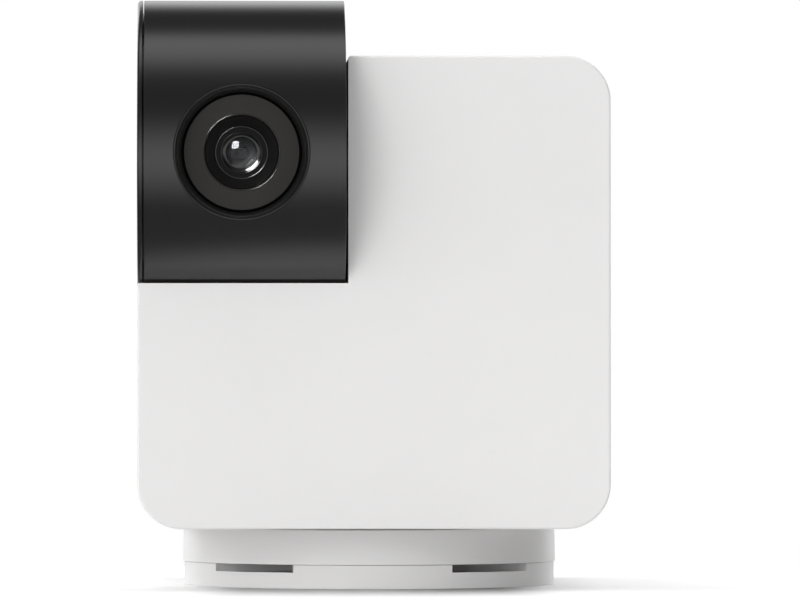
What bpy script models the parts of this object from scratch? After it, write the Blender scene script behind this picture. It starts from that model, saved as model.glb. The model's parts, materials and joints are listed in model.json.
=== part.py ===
"""A pet camera that pans and tilts: a square head on a round base, with a drum that carries the lens.

+X is right, -Y is the front and +Z is up. The origin is on the pan axis, on the surface that it stands on.
"""

import math

import bmesh
import bpy
from mathutils import Matrix, Vector

# Fits that the whole assembly shares
SEAT_GAP = 0.0003
SEAM_GAP = 0.0002
CUT_OVERRUN = 0.0020
UNION_SINK = 0.0004
MERGE_DISTANCE = 0.0000002

# Facets, which are counts and angles
DRUM_STEPS = 40
LENS_STEPS = 24
RIM_STEPS = 12
SMALL_STEPS = 6
CORNER_STEPS = 6
ARC_STEPS = 4
SMOOTH_ANGLE = math.radians(32)

# Head shell
HEAD_WIDTH = 0.0750
HEAD_DEPTH = 0.0750
HEAD_HEIGHT = 0.0750
HEAD_CORNER_RADIUS = 0.0071
HEAD_FRONT_ROUND = 0.0004
HEAD_REAR_ROUND = 0.0012
HEAD_WALL = 0.0020
COVER_LIP_WALL = 0.0015
COVER_LIP_DEPTH = 0.0030
NOTCH_ROUND = 0.0005
HOOK_LENGTH = 0.0080
HOOK_REACH = 0.0005
HOOK_THICKNESS = 0.0016
HOOK_SETBACK = 0.0011
HOOK_SPACING = 0.0400
GUSSET_THICKNESS = 0.0012
GUSSET_DROP = 0.0090
GUSSET_SPACING = 0.0180

# Base, from the floor up
PAD_RADIUS = 0.0275
PAD_THICKNESS = 0.0011
PAD_ROUND = 0.0002
PAD_STAND = 0.0001
BASE_COVER_RADIUS = 0.0301
BASE_COVER_HEIGHT = 0.00355
BASE_COVER_WALL = 0.0026
BASE_COVER_FLOOR = 0.0011
BASE_COVER_ROUND = 0.0003
COLLAR_RADIUS = 0.0302
COLLAR_FLARE = 0.0001
COLLAR_HEIGHT = 0.00545
COLLAR_WALL = 0.0024
COLLAR_ROUND = 0.0002
DECK_THICKNESS = 0.0023
PAN_GAP = 0.0003
SLOT_HEIGHT = 0.0011
SLOT_INNER_END = 0.0122
SLOT_OUTER_END = 0.0243

# Pan bearing, spindle and gear
SPINDLE_RADIUS = 0.0090
SPINDLE_NECK_RADIUS = 0.0075
SPINDLE_BORE_RADIUS = 0.0045
SLIDE_RING_RADIUS = 0.0220
SLIDE_RING_WIDTH = 0.0030
SLIDE_RING_THICKNESS = 0.0009
PAN_BUSH_WALL = 0.0024
PAN_BUSH_FLANGE = 0.0023
PAN_BUSH_FLANGE_THICKNESS = 0.0010
GEAR_MODULE = 0.0006
GEAR_THICKNESS = 0.0030
MESH_BACKLASH = 0.00012
PAN_GEAR_TEETH = 60
PAN_PINION_TEETH = 12
KEY_WIDTH = 0.0020
KEY_HEIGHT = 0.0011
RETAINER_RADIUS = 0.0105
RETAINER_THICKNESS = 0.0012
RETAINER_SCREW_CIRCLE = 0.0060

# Drum and the cradle that it lies in
DRUM_RADIUS = 0.0248
DRUM_LENGTH = 0.03295
DRUM_WALL = 0.0018
DRUM_FRONT_STAND = 0.0102
DRUM_TOP_STAND = 0.0093
DRUM_GAP = 0.0004
DRUM_END_GAP = 0.00045
CRADLE_WALL = 0.0020
END_CAP_THICKNESS = 0.0008
END_CAP_ROUND = 0.0006
END_CAP_SPIGOT = 0.0024
END_CAP_SPIGOT_WALL = 0.0012
HUB_THICKNESS = 0.0020
HUB_RIM_WALL = 0.0012
HUB_RIM_DEPTH = 0.0030
TRUNNION_RADIUS = 0.0040
TRUNNION_BORE_RADIUS = 0.0022
TRUNNION_END = 0.0006

# Tilt gear train
TILT_BUSH_WALL = 0.0014
TILT_BUSH_FLANGE = 0.0018
TILT_BUSH_FLANGE_THICKNESS = 0.0008
TILT_GEAR_TEETH = 38
TILT_PINION_TEETH = 12
TILT_PINION_ANGLE = math.radians(45)
CLIP_THICKNESS = 0.0005
CLIP_GROOVE_DEPTH = 0.0004
CLIP_WIDTH = 0.0015
CLIP_OPENING = math.radians(70)

# Motors and their brackets
MOTOR_RADIUS = 0.0100
MOTOR_LENGTH = 0.0130
MOTOR_ROUND = 0.0006
MOTOR_SHAFT_RADIUS = 0.00075
MOTOR_SIDE_ROOM = 0.0038
EAR_SPACING = 0.0270
EAR_RADIUS = 0.0022
EAR_THICKNESS = 0.0008
BRACKET_HALF_WIDTH = 0.0066
BRACKET_THICKNESS = 0.0010
BRACKET_HOLE_RADIUS = 0.0020
BOSS_RADIUS = 0.0022

# Screws
SMALL_SHANK_RADIUS = 0.0006
SMALL_HEAD_RADIUS = 0.0012
SMALL_HEAD_HEIGHT = 0.0008
SMALL_SHANK_LENGTH = 0.0044
BASE_SHANK_RADIUS = 0.0010
BASE_HEAD_RADIUS = 0.0018
BASE_SHANK_LENGTH = 0.0050
BASE_BOSS_RADIUS = 0.0029
BASE_BOSS_CIRCLE = 0.0190
BASE_BOSS_HEIGHT = 0.0014

# Lens, measured along its axis from the drum's axis
LENS_HOLE_RADIUS = 0.0108
BEZEL_FRONT = 0.0222
BEZEL_RIM = 0.0010
BEZEL_CHAMFER = 0.0003
BEZEL_DEPTH = 0.0049
BEZEL_FLANGE = 0.0015
BEZEL_FLANGE_THICKNESS = 0.0018
BEZEL_LEDGE = 0.0011
MASK_FRONT = 0.0212
MASK_THICKNESS = 0.0010
MASK_APERTURE_RADIUS = 0.00585
MASK_CHAMFER = 0.0002
LAMP_BOARD_WIDTH = 0.0017
LAMP_BOARD_THICKNESS = 0.0010
LAMP_SIDE = 0.0011
LAMP_HEIGHT = 0.0008
LAMP_COUNT = 6
BARREL_RADIUS = 0.0059
BARREL_NECK_RADIUS = 0.00555
BARREL_REAR = 0.0060
BARREL_SHOULDER = 0.0140
BARREL_FRONT = 0.0206
BARREL_LIP = 0.0003
BARREL_BORE_RADIUS = 0.0033
BARREL_SEAT_RADIUS = 0.00445
BARREL_SEAT = 0.0177
ELEMENT_EDGE = 0.0005
ELEMENT_DOME_RADIUS = 0.00285
ELEMENT_DOME_HEIGHT = 0.0013
RETAINER_RING_THICKNESS = 0.0006
IRIS_RADIUS = 0.00105
IRIS_THICKNESS = 0.0003
IRIS_PLACE = 0.0165
REAR_ELEMENT_PLACE = 0.0130
REAR_ELEMENT_EDGE = 0.0010
REAR_ELEMENT_BULGE = 0.0007
HOLDER_TUBE_WALL = 0.0012
HOLDER_TUBE_END = 0.0125
HOLDER_BASE_SIDE = 0.0160
HOLDER_BASE_LENGTH = 0.0240
HOLDER_BASE_HEIGHT = 0.0034
HOLDER_ROOM_SIDE = 0.0100
HOLDER_ROOM_HEIGHT = 0.0024
SENSOR_SIDE = 0.0070
SENSOR_THICKNESS = 0.0009
SENSOR_BOARD_HEIGHT = 0.0200
SENSOR_BOARD_THICKNESS = 0.0012
SENSOR_SCREW_SPACING = 0.0200
ARM_THICKNESS = 0.0015
ARM_HEIGHT = 0.0120

# Electronics on the rear cover
BOARD_WIDTH = 0.0560
BOARD_HEIGHT = 0.0480
BOARD_THICKNESS = 0.0012
BOARD_CORNER_RADIUS = 0.0015
BOARD_BOSS_LENGTH = 0.0075
BOARD_BOSS_INSET = 0.0045
BOARD_FLOOR_CLEARANCE = 0.0035
SHIELD_WIDTH = 0.0240
SHIELD_HEIGHT = 0.0200
SHIELD_THICKNESS = 0.0022
SHIELD_RISE = 0.0060
SPEAKER_RADIUS = 0.0140
SPEAKER_MAGNET_RADIUS = 0.0070
SPEAKER_FRAME_THICKNESS = 0.0018
SPEAKER_DEPTH = 0.0050
SPEAKER_DROP = 0.0220
SPEAKER_RIB_WALL = 0.0012
SPEAKER_RIB_DEPTH = 0.0030
SOUND_HOLE_RADIUS = 0.0008
SOUND_RING_PITCH = 0.0034
SOUND_RINGS = 2
MICROPHONE_RADIUS = 0.0020
MICROPHONE_DEPTH = 0.0016
MICROPHONE_HOLE_RADIUS = 0.0006
MICROPHONE_ACROSS = -0.0145
SOCKET_WIDTH = 0.0090
SOCKET_HEIGHT = 0.0032
SOCKET_WALL = 0.0004
SOCKET_TONGUE_WIDTH = 0.0062
SOCKET_TONGUE_THICKNESS = 0.0007
SOCKET_ROOM_DEPTH = 0.0060
SOCKET_RISE = 0.0105
BUTTON_RADIUS = 0.0022
BUTTON_FLANGE = 0.0009
BUTTON_FLANGE_THICKNESS = 0.0008
BUTTON_STEM_LENGTH = 0.0022
BUTTON_ACROSS = 0.0145
BUTTON_RECESS = 0.0003
BUTTON_GUIDE_WALL = 0.0008
BUTTON_GUIDE_DEPTH = 0.0022
BUTTON_TRAVEL = 0.0006
SWITCH_SIDE = 0.0060
SWITCH_PLUNGER_RADIUS = 0.0015
SWITCH_PLUNGER_HEIGHT = 0.0008
ANTENNA_LENGTH = 0.0340
ANTENNA_HEIGHT = 0.0070
ANTENNA_THICKNESS = 0.0006
ANTENNA_RISE = 0.0300

# Heights of the stack, from the floor up
COVER_BOTTOM = PAD_STAND
COVER_FLOOR_BOTTOM = PAD_THICKNESS + SEAT_GAP
COVER_FLOOR_TOP = COVER_FLOOR_BOTTOM + BASE_COVER_FLOOR
COVER_TOP = COVER_BOTTOM + BASE_COVER_HEIGHT
COLLAR_BOTTOM = COVER_TOP + SEAT_GAP
COLLAR_TOP = COLLAR_BOTTOM + COLLAR_HEIGHT
DECK_BOTTOM = COLLAR_TOP - DECK_THICKNESS
HEAD_BOTTOM = COLLAR_TOP + PAN_GAP
HEAD_MIDDLE = HEAD_BOTTOM + HEAD_HEIGHT / 2
HEAD_FLOOR = HEAD_BOTTOM + HEAD_WALL
FLANGE_TOP = HEAD_FLOOR + SEAT_GAP + PAN_BUSH_FLANGE_THICKNESS
PAN_GEAR_BOTTOM = FLANGE_TOP + SEAT_GAP
PAN_GEAR_TOP = PAN_GEAR_BOTTOM + GEAR_THICKNESS
RETAINER_TOP = PAN_GEAR_TOP + SEAT_GAP + RETAINER_THICKNESS

# Planes of the head and its rear cover, along Y
FACE_PLANE = -HEAD_DEPTH / 2
BACK_PLANE = HEAD_DEPTH / 2
COVER_INNER_PLANE = BACK_PLANE - HEAD_WALL
SHELL_END_PLANE = COVER_INNER_PLANE - SEAM_GAP
BOARD_BACK_PLANE = COVER_INNER_PLANE - BOARD_BOSS_LENGTH - SEAT_GAP
BOARD_FRONT_PLANE = BOARD_BACK_PLANE - BOARD_THICKNESS
BOARD_BOTTOM = HEAD_FLOOR + BOARD_FLOOR_CLEARANCE
BOARD_MIDDLE = BOARD_BOTTOM + BOARD_HEIGHT / 2
SOCKET_LEVEL = HEAD_FLOOR + SOCKET_RISE
SPEAKER_LEVEL = HEAD_BOTTOM + HEAD_HEIGHT - HEAD_WALL - SPEAKER_DROP

# The drum's axis and the planes along it
DRUM_Y = FACE_PLANE - DRUM_FRONT_STAND + DRUM_RADIUS
DRUM_Z = HEAD_BOTTOM + HEAD_HEIGHT + DRUM_TOP_STAND - DRUM_RADIUS
DRUM_LEFT = -HEAD_WIDTH / 2
DRUM_RIGHT = DRUM_LEFT + DRUM_LENGTH
DRUM_MIDDLE = (DRUM_LEFT + DRUM_RIGHT) / 2
CRADLE_RADIUS = DRUM_RADIUS + DRUM_GAP
CHEEK_OUTSIDE = DRUM_RIGHT + DRUM_END_GAP
CHEEK_INSIDE = CHEEK_OUTSIDE + CRADLE_WALL
DRUM_BORE_RADIUS = DRUM_RADIUS - DRUM_WALL
TILT_FLANGE_END = CHEEK_INSIDE + SEAT_GAP + TILT_BUSH_FLANGE_THICKNESS
TILT_GEAR_START = TILT_FLANGE_END + SEAT_GAP
TILT_GEAR_END = TILT_GEAR_START + GEAR_THICKNESS
CLIP_GROOVE_END = TILT_GEAR_END + CLIP_THICKNESS + 2 * SEAT_GAP
TRUNNION_TIP = CLIP_GROOVE_END + TRUNNION_END

# Gear centres
PAN_REACH = HEAD_WIDTH / 2 - HEAD_WALL - MOTOR_SIDE_ROOM - MOTOR_RADIUS
PAN_CENTRE_DISTANCE = GEAR_MODULE * (PAN_GEAR_TEETH + PAN_PINION_TEETH) / 2 + MESH_BACKLASH / 2
TILT_CENTRE_DISTANCE = GEAR_MODULE * (TILT_GEAR_TEETH + TILT_PINION_TEETH) / 2 + MESH_BACKLASH / 2
PAN_PINION_ANGLE = math.pi + math.acos(min(1, PAN_REACH / PAN_CENTRE_DISTANCE))
PAN_PINION_X = PAN_CENTRE_DISTANCE * math.cos(PAN_PINION_ANGLE)
PAN_PINION_Y = PAN_CENTRE_DISTANCE * math.sin(PAN_PINION_ANGLE)
TILT_PINION_Y = DRUM_Y + TILT_CENTRE_DISTANCE * math.sin(TILT_PINION_ANGLE)
TILT_PINION_Z = DRUM_Z - TILT_CENTRE_DISTANCE * math.cos(TILT_PINION_ANGLE)
PINION_BORE_RADIUS = MOTOR_SHAFT_RADIUS + SEAT_GAP
PAN_BRACKET_BOTTOM = RETAINER_TOP + SEAT_GAP + SMALL_HEAD_HEIGHT + SEAT_GAP
PAN_MOTOR_FACE = PAN_BRACKET_BOTTOM + BRACKET_THICKNESS + SEAT_GAP
TILT_BRACKET_START = TRUNNION_TIP + SEAT_GAP
TILT_MOTOR_FACE = TILT_BRACKET_START + BRACKET_THICKNESS + SEAT_GAP

# Directions of a piece's own +Z in the assembly
UP = Matrix.Identity(4)
RIGHT = Matrix.Rotation(math.pi / 2, 4, "Y")
LEFT = Matrix.Rotation(-math.pi / 2, 4, "Y")
FORWARD = Matrix.Rotation(math.pi / 2, 4, "X")
BACKWARD = Matrix.Rotation(-math.pi / 2, 4, "X")
DOWN = Matrix.Rotation(math.pi, 4, "X")


def clear_scene():
    for obj in list(bpy.data.objects):
        bpy.data.objects.remove(obj, do_unlink=True)


def finish_material(name, colour, roughness, metallic=0.0):
    material = bpy.data.materials.new(name)
    material.use_nodes = True
    shader = material.node_tree.nodes["Principled BSDF"]
    shader.inputs["Base Color"].default_value = (*colour, 1.0)
    shader.inputs["Roughness"].default_value = roughness
    shader.inputs["Metallic"].default_value = metallic
    material.diffuse_color = (*colour, 1.0)
    return material


def axis_empty(name, location):
    """An empty on a joint's axis, which carries the pieces that turn about it."""
    empty = bpy.data.objects.new(name, None)
    empty.location = location
    empty.empty_display_size = GEAR_THICKNESS
    bpy.context.scene.collection.objects.link(empty)
    return empty


def solid(name, bm, material=None, place=(0, 0, 0), facing=UP, turn=0.0, carrier=None):
    """Turns a bmesh into an object whose own +Z points along facing, at a place in its carrier's frame."""
    bmesh.ops.remove_doubles(bm, verts=bm.verts, dist=MERGE_DISTANCE)
    bmesh.ops.recalc_face_normals(bm, faces=bm.faces)
    mesh = bpy.data.meshes.new(name)
    bm.to_mesh(mesh)
    bm.free()
    mesh.shade_smooth()
    mesh.set_sharp_from_angle(angle=SMOOTH_ANGLE)
    if material:
        mesh.materials.append(material)
    obj = bpy.data.objects.new(name, mesh)
    bpy.context.scene.collection.objects.link(obj)
    if carrier:
        obj.parent = carrier
    obj.matrix_local = Matrix.Translation(Vector(place)) @ facing @ Matrix.Rotation(turn, 4, "Z")
    return obj


def combine(obj, tool, operation):
    """Adds a Boolean and marks its tool as a helper, which is not a piece of the object."""
    modifier = obj.modifiers.new(tool.name, "BOOLEAN")
    modifier.operation = operation
    modifier.solver = "EXACT"
    modifier.object = tool
    tool.hide_render = True
    tool.display_type = "WIRE"
    return obj


def cut(obj, *tools):
    for tool in tools:
        combine(obj, tool, "DIFFERENCE")
    return obj


def fuse(obj, *tools):
    for tool in tools:
        combine(obj, tool, "UNION")
    return obj


def circle(radius, steps, turn=0.0):
    angles = [turn + 2 * math.pi * step / steps for step in range(steps)]
    return [(radius * math.cos(angle), radius * math.sin(angle)) for angle in angles]


def rounded_rectangle(width, height, radius, arc_steps=ARC_STEPS):
    """The outline of a rectangle with round corners, centred on zero, anticlockwise."""
    points = []
    for quarter, (across, along) in enumerate(((1, 1), (-1, 1), (-1, -1), (1, -1))):
        centre_x = across * (width / 2 - radius)
        centre_y = along * (height / 2 - radius)
        for step in range(arc_steps + 1):
            angle = math.pi / 2 * (quarter + step / arc_steps)
            points.append((centre_x + radius * math.cos(angle), centre_y + radius * math.sin(angle)))
    return points


def lofted(sections):
    """A closed solid through outlines with the same count of points: pairs of an outline and its height."""
    bm = bmesh.new()
    rings = [[bm.verts.new((x, y, height)) for x, y in outline] for outline, height in sections]
    for lower, upper in zip(rings, rings[1:]):
        for index, corner in enumerate(lower):
            following = (index + 1) % len(lower)
            bm.faces.new((corner, lower[following], upper[following], upper[index]))
    bm.faces.new(rings[0][::-1])
    bm.faces.new(rings[-1])
    return bm


def prism(outline, start, end):
    """An outline in the XY plane, extruded along Z from start to end."""
    bm = bmesh.new()
    face = bm.faces.new([bm.verts.new((x, y, start)) for x, y in outline])
    grown = bmesh.ops.extrude_face_region(bm, geom=[face])["geom"]
    moved = [item for item in grown if isinstance(item, bmesh.types.BMVert)]
    bmesh.ops.translate(bm, verts=moved, vec=(0, 0, end - start))
    return bm


def cylinder(radius, start, end, steps=SMALL_STEPS):
    return prism(circle(radius, steps), start, end)


def block(width, height, start, end, centre=(0, 0)):
    """A box that spans width along X and height along Y, from start to end along Z."""
    corners = ((1, 1), (-1, 1), (-1, -1), (1, -1))
    outline = [(centre[0] + x * width / 2, centre[1] + y * height / 2) for x, y in corners]
    return prism(outline, start, end)


def moved(bm, offset):
    bmesh.ops.translate(bm, verts=bm.verts, vec=offset)
    return bm


def gathered(parts):
    """Several separate closed shapes in one mesh, to serve as one cutter."""
    whole = bmesh.new()
    for part in parts:
        mesh = bpy.data.meshes.new("gathered")
        part.to_mesh(mesh)
        part.free()
        whole.from_mesh(mesh)
        bpy.data.meshes.remove(mesh)
    return whole


def turned(profile, steps=LENS_STEPS):
    """A profile of (radius, height) pairs spun about Z, which closes on itself or on the axis."""
    bm = bmesh.new()
    points = [bm.verts.new((radius, 0, height)) for radius, height in profile]
    edges = [bm.edges.new(pair) for pair in zip(points, points[1:])]
    if profile[0][0] or profile[-1][0]:
        edges.append(bm.edges.new((points[-1], points[0])))
    spun = points + edges
    full_turn = 2 * math.pi
    middle = (0, 0, 0)
    axis = (0, 0, 1)
    bmesh.ops.spin(bm, geom=spun, cent=middle, axis=axis, angle=full_turn, steps=steps, use_merge=True)
    return bm


def quarter_round(radius, height, size, outward, upward, steps=2):
    """Points of a rounded edge on a turned profile, from the wall to the end face."""
    points = []
    for step in range(steps + 1):
        angle = math.pi / 2 * step / steps
        across = radius - outward * size * (1 - math.cos(angle))
        points.append((across, height - upward * size * (1 - math.sin(angle))))
    return points


def sector(inner, outer, start, end, steps):
    """The outline of a piece of a ring, from one angle to another."""
    angles = [start + (end - start) * step / steps for step in range(steps + 1)]
    outside = [(outer * math.cos(angle), outer * math.sin(angle)) for angle in angles]
    inside = [(inner * math.cos(angle), inner * math.sin(angle)) for angle in reversed(angles)]
    return outside + inside


def stadium(length, width, arc_steps=ARC_STEPS):
    """A slot's outline along X: two half circles and the straight sides between them."""
    return rounded_rectangle(length, width, width / 2, arc_steps)


def on_circle(radius, count, turn=0.0):
    return circle(radius, count, turn)


def screw(name, material, place, facing, small=True, carrier=None):
    """A pan head screw whose shank points along its own +Z, with the head's bearing face at zero."""
    shank = SMALL_SHANK_RADIUS if small else BASE_SHANK_RADIUS
    head = SMALL_HEAD_RADIUS if small else BASE_HEAD_RADIUS
    length = SMALL_SHANK_LENGTH if small else BASE_SHANK_LENGTH
    crown_share = 0.7
    profile = [
        (0, -SMALL_HEAD_HEIGHT),
        (head * crown_share, -SMALL_HEAD_HEIGHT),
        (head, -SMALL_HEAD_HEIGHT / 2),
        (head, 0),
        (shank, 0),
        (shank, length - shank),
        (0, length),
    ]
    return solid(name, turned(profile, SMALL_STEPS), material, place, facing, carrier=carrier)


# Gears


def flank_angle(radius, pitch_radius, teeth):
    """Half the angle that a tooth spans at a radius, along an involute of 20 degrees pressure angle."""
    pressure = math.radians(20)
    base_radius = pitch_radius * math.cos(pressure)
    half_tooth = (math.pi * GEAR_MODULE / 2 - MESH_BACKLASH) / (2 * pitch_radius)
    local = math.acos(min(1.0, base_radius / radius))
    return half_tooth + math.tan(pressure) - pressure - math.tan(local) + local


def gear_outline(teeth):
    """Points round a spur gear, with a tooth centred on +X."""
    pitch_radius = GEAR_MODULE * teeth / 2
    addendum_share = 0.85
    dedendum_share = 1.2
    root = pitch_radius - dedendum_share * GEAR_MODULE
    tip = pitch_radius + addendum_share * GEAR_MODULE
    points = []
    for tooth in range(teeth):
        middle = 2 * math.pi * tooth / teeth
        radii = (root, pitch_radius, tip)
        rising = [(radius, middle - flank_angle(radius, pitch_radius, teeth)) for radius in radii]
        falling = [(radius, 2 * middle - angle) for radius, angle in reversed(rising)]
        points += [(radius * math.cos(angle), radius * math.sin(angle)) for radius, angle in rising + falling]
    return points


def spur_gear(name, teeth, bore_radius, material, place, facing, turn, carrier):
    """A toothed wheel from zero to its thickness along its own +Z, with a plain bore."""
    gear = solid(name, prism(gear_outline(teeth), 0, GEAR_THICKNESS), material, place, facing, turn, carrier)
    bore = cylinder(bore_radius, -CUT_OVERRUN, GEAR_THICKNESS + CUT_OVERRUN, LENS_STEPS)
    return cut(gear, solid(name + "_bore", bore, None, place, facing, turn, carrier))


def pinion_turn(direction, teeth):
    """The turn that puts a gap between two teeth where the wheel's own tooth points."""
    return direction + math.pi + math.pi / teeth


# Base


def make_foot_pad(rubber):
    profile = [(0, 0)]
    profile += quarter_round(PAD_RADIUS, 0, PAD_ROUND, 1, -1)[::-1]
    profile += [(PAD_RADIUS, PAD_THICKNESS), (0, PAD_THICKNESS)]
    return solid("foot_pad", turned(profile, DRUM_STEPS), rubber)


def base_screw_places():
    return on_circle(BASE_BOSS_CIRCLE, 3, math.pi / 2)


def make_base_cover(white):
    """The lower ring: a shallow cup with two slots in its front rim and a recess below for the foot pad."""
    recess_radius = PAD_RADIUS + SEAT_GAP
    inside_radius = BASE_COVER_RADIUS - BASE_COVER_WALL
    profile = [(0, COVER_FLOOR_BOTTOM), (recess_radius, COVER_FLOOR_BOTTOM), (recess_radius, COVER_BOTTOM)]
    profile += quarter_round(BASE_COVER_RADIUS, COVER_BOTTOM, BASE_COVER_ROUND, 1, -1)[::-1]
    profile += [(BASE_COVER_RADIUS, COVER_TOP), (inside_radius, COVER_TOP)]
    profile += [(inside_radius, COVER_FLOOR_TOP), (0, COVER_FLOOR_TOP)]
    cover = solid("base_cover", turned(profile, DRUM_STEPS), white)
    slot_back = math.sqrt(BASE_COVER_RADIUS**2 - SLOT_OUTER_END**2)
    slot_front = BASE_COVER_RADIUS + CUT_OVERRUN
    slot_length = SLOT_OUTER_END - SLOT_INNER_END
    slot_middle = (SLOT_INNER_END + SLOT_OUTER_END) / 2
    span = (COVER_TOP - SLOT_HEIGHT, COVER_TOP + CUT_OVERRUN)
    slots = [
        block(slot_length, slot_front - slot_back, *span, (side * slot_middle, -(slot_front + slot_back) / 2))
        for side in (-1, 1)
    ]
    cut(cover, solid("base_cover_slots", gathered(slots)))
    pillar_top = COVER_FLOOR_TOP + BASE_BOSS_HEIGHT
    head_room = SMALL_HEAD_HEIGHT + SEAT_GAP
    for number, (x, y) in enumerate(base_screw_places(), 1):
        pillar = cylinder(BASE_BOSS_RADIUS, COVER_FLOOR_TOP - UNION_SINK, pillar_top)
        below = COVER_FLOOR_BOTTOM - CUT_OVERRUN
        shaft = cylinder(BASE_SHANK_RADIUS + SEAT_GAP, below, pillar_top + CUT_OVERRUN)
        sink = cylinder(BASE_HEAD_RADIUS + SEAT_GAP, below, COVER_FLOOR_BOTTOM + head_room)
        fuse(cover, solid(f"base_cover_pillar_{number}", moved(pillar, (x, y, 0))))
        cut(cover, solid(f"base_cover_shaft_{number}", moved(shaft, (x, y, 0))))
        cut(cover, solid(f"base_cover_sink_{number}", moved(sink, (x, y, 0))))
    return cover


def make_base_housing(white):
    """The collar, its deck with the slide ring's groove, and the hollow spindle that the head turns on."""
    groove_inner = SLIDE_RING_RADIUS - SEAT_GAP
    groove_outer = SLIDE_RING_RADIUS + SLIDE_RING_WIDTH + SEAT_GAP
    groove_bottom = HEAD_BOTTOM - 2 * SEAT_GAP - SLIDE_RING_THICKNESS
    profile = [(SPINDLE_BORE_RADIUS, PAN_GEAR_TOP), (SPINDLE_NECK_RADIUS, PAN_GEAR_TOP)]
    profile += [(SPINDLE_NECK_RADIUS, FLANGE_TOP), (SPINDLE_RADIUS, FLANGE_TOP), (SPINDLE_RADIUS, COLLAR_TOP)]
    profile += [(groove_inner, COLLAR_TOP), (groove_inner, groove_bottom)]
    profile += [(groove_outer, groove_bottom), (groove_outer, COLLAR_TOP)]
    profile += quarter_round(COLLAR_RADIUS, COLLAR_TOP, COLLAR_ROUND, 1, 1)[::-1]
    profile += [(COLLAR_RADIUS + COLLAR_FLARE, COLLAR_BOTTOM), (COLLAR_RADIUS - COLLAR_WALL, COLLAR_BOTTOM)]
    profile += [(COLLAR_RADIUS - COLLAR_WALL, DECK_BOTTOM), (SPINDLE_BORE_RADIUS, DECK_BOTTOM)]
    housing = solid("base_housing", turned(profile, DRUM_STEPS), white)
    key_reach = SPINDLE_NECK_RADIUS + KEY_HEIGHT
    key = block(KEY_HEIGHT + UNION_SINK, KEY_WIDTH, FLANGE_TOP - UNION_SINK, PAN_GEAR_TOP)
    key_centre = key_reach - (KEY_HEIGHT + UNION_SINK) / 2
    fuse(housing, solid("spindle_key", moved(key, (key_centre, 0, 0))))
    boss_bottom = COVER_FLOOR_TOP + BASE_BOSS_HEIGHT + SEAT_GAP
    bore_top = COVER_FLOOR_BOTTOM + SMALL_HEAD_HEIGHT + BASE_SHANK_LENGTH + 2 * SEAT_GAP
    for number, (x, y) in enumerate(base_screw_places(), 1):
        boss = cylinder(BASE_BOSS_RADIUS, boss_bottom, DECK_BOTTOM + UNION_SINK)
        bore = cylinder(BASE_SHANK_RADIUS + SEAT_GAP, boss_bottom - CUT_OVERRUN, bore_top)
        fuse(housing, solid(f"base_boss_{number}", moved(boss, (x, y, 0))))
        cut(housing, solid(f"base_boss_bore_{number}", moved(bore, (x, y, 0))))
    for number, (x, y) in enumerate(retainer_screw_places(), 1):
        depth = PAN_GEAR_TOP - SMALL_SHANK_LENGTH
        bore = cylinder(SMALL_SHANK_RADIUS + SEAT_GAP, depth, PAN_GEAR_TOP + CUT_OVERRUN)
        cut(housing, solid(f"spindle_bore_{number}", moved(bore, (x, y, 0))))
    return housing


def retainer_screw_places():
    return on_circle(RETAINER_SCREW_CIRCLE, 3, math.pi / 3)


def make_slide_ring(nylon):
    top = HEAD_BOTTOM - SEAT_GAP
    inner = SLIDE_RING_RADIUS
    outer = SLIDE_RING_RADIUS + SLIDE_RING_WIDTH
    bottom = top - SLIDE_RING_THICKNESS
    profile = [(inner, bottom), (outer, bottom), (outer, top), (inner, top)]
    return solid("pan_slide_ring", turned(profile), nylon)


def make_pan_gear(nylon):
    bore_radius = SPINDLE_NECK_RADIUS + SEAT_GAP
    place = (0, 0, PAN_GEAR_BOTTOM)
    gear = spur_gear("pan_gear", PAN_GEAR_TEETH, bore_radius, nylon, place, UP, PAN_PINION_ANGLE, None)
    reach = SPINDLE_NECK_RADIUS + KEY_HEIGHT + SEAT_GAP
    span = (-CUT_OVERRUN, GEAR_THICKNESS + CUT_OVERRUN)
    keyway = block(reach, KEY_WIDTH + 2 * SEAT_GAP, *span, (reach / 2, 0))
    return cut(gear, solid("pan_keyway", keyway, None, place))


def make_pan_retainer(steel):
    bottom = PAN_GEAR_TOP + SEAT_GAP
    inner = SPINDLE_BORE_RADIUS
    outer = RETAINER_RADIUS
    profile = [(inner, bottom), (outer, bottom), (outer, RETAINER_TOP), (inner, RETAINER_TOP)]
    retainer = solid("pan_retainer", turned(profile), steel)
    span = (bottom - CUT_OVERRUN, RETAINER_TOP + CUT_OVERRUN)
    hole_radius = SMALL_SHANK_RADIUS + SEAT_GAP
    holes = [moved(cylinder(hole_radius, *span), (x, y, 0)) for x, y in retainer_screw_places()]
    return cut(retainer, solid("pan_retainer_holes", gathered(holes)))


def make_base(white, rubber, nylon, steel):
    make_foot_pad(rubber)
    make_base_cover(white)
    make_base_housing(white)
    make_slide_ring(nylon)
    make_pan_gear(nylon)
    make_pan_retainer(steel)
    for number, (x, y) in enumerate(base_screw_places(), 1):
        screw(f"base_screw_{number}", steel, (x, y, COVER_FLOOR_BOTTOM + SMALL_HEAD_HEIGHT), UP, small=False)
    for number, (x, y) in enumerate(retainer_screw_places(), 1):
        screw(f"retainer_screw_{number}", steel, (x, y, RETAINER_TOP + SEAT_GAP), DOWN)


# Head shell and rear cover


def head_outline(inset):
    width = HEAD_WIDTH - 2 * inset
    height = HEAD_HEIGHT - 2 * inset
    corner = max(HEAD_CORNER_RADIUS - inset, HEAD_FRONT_ROUND)
    return rounded_rectangle(width, height, corner, CORNER_STEPS)


def rounded_end(plane, size, steps):
    """Sections of the head outline as its edge rounds off towards an end face at a plane."""
    sections = []
    for step in range(steps + 1):
        angle = math.pi / 2 * step / steps
        sections.append((head_outline(size * (1 - math.cos(angle))), plane - size * (1 - math.sin(angle))))
    return sections


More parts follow.
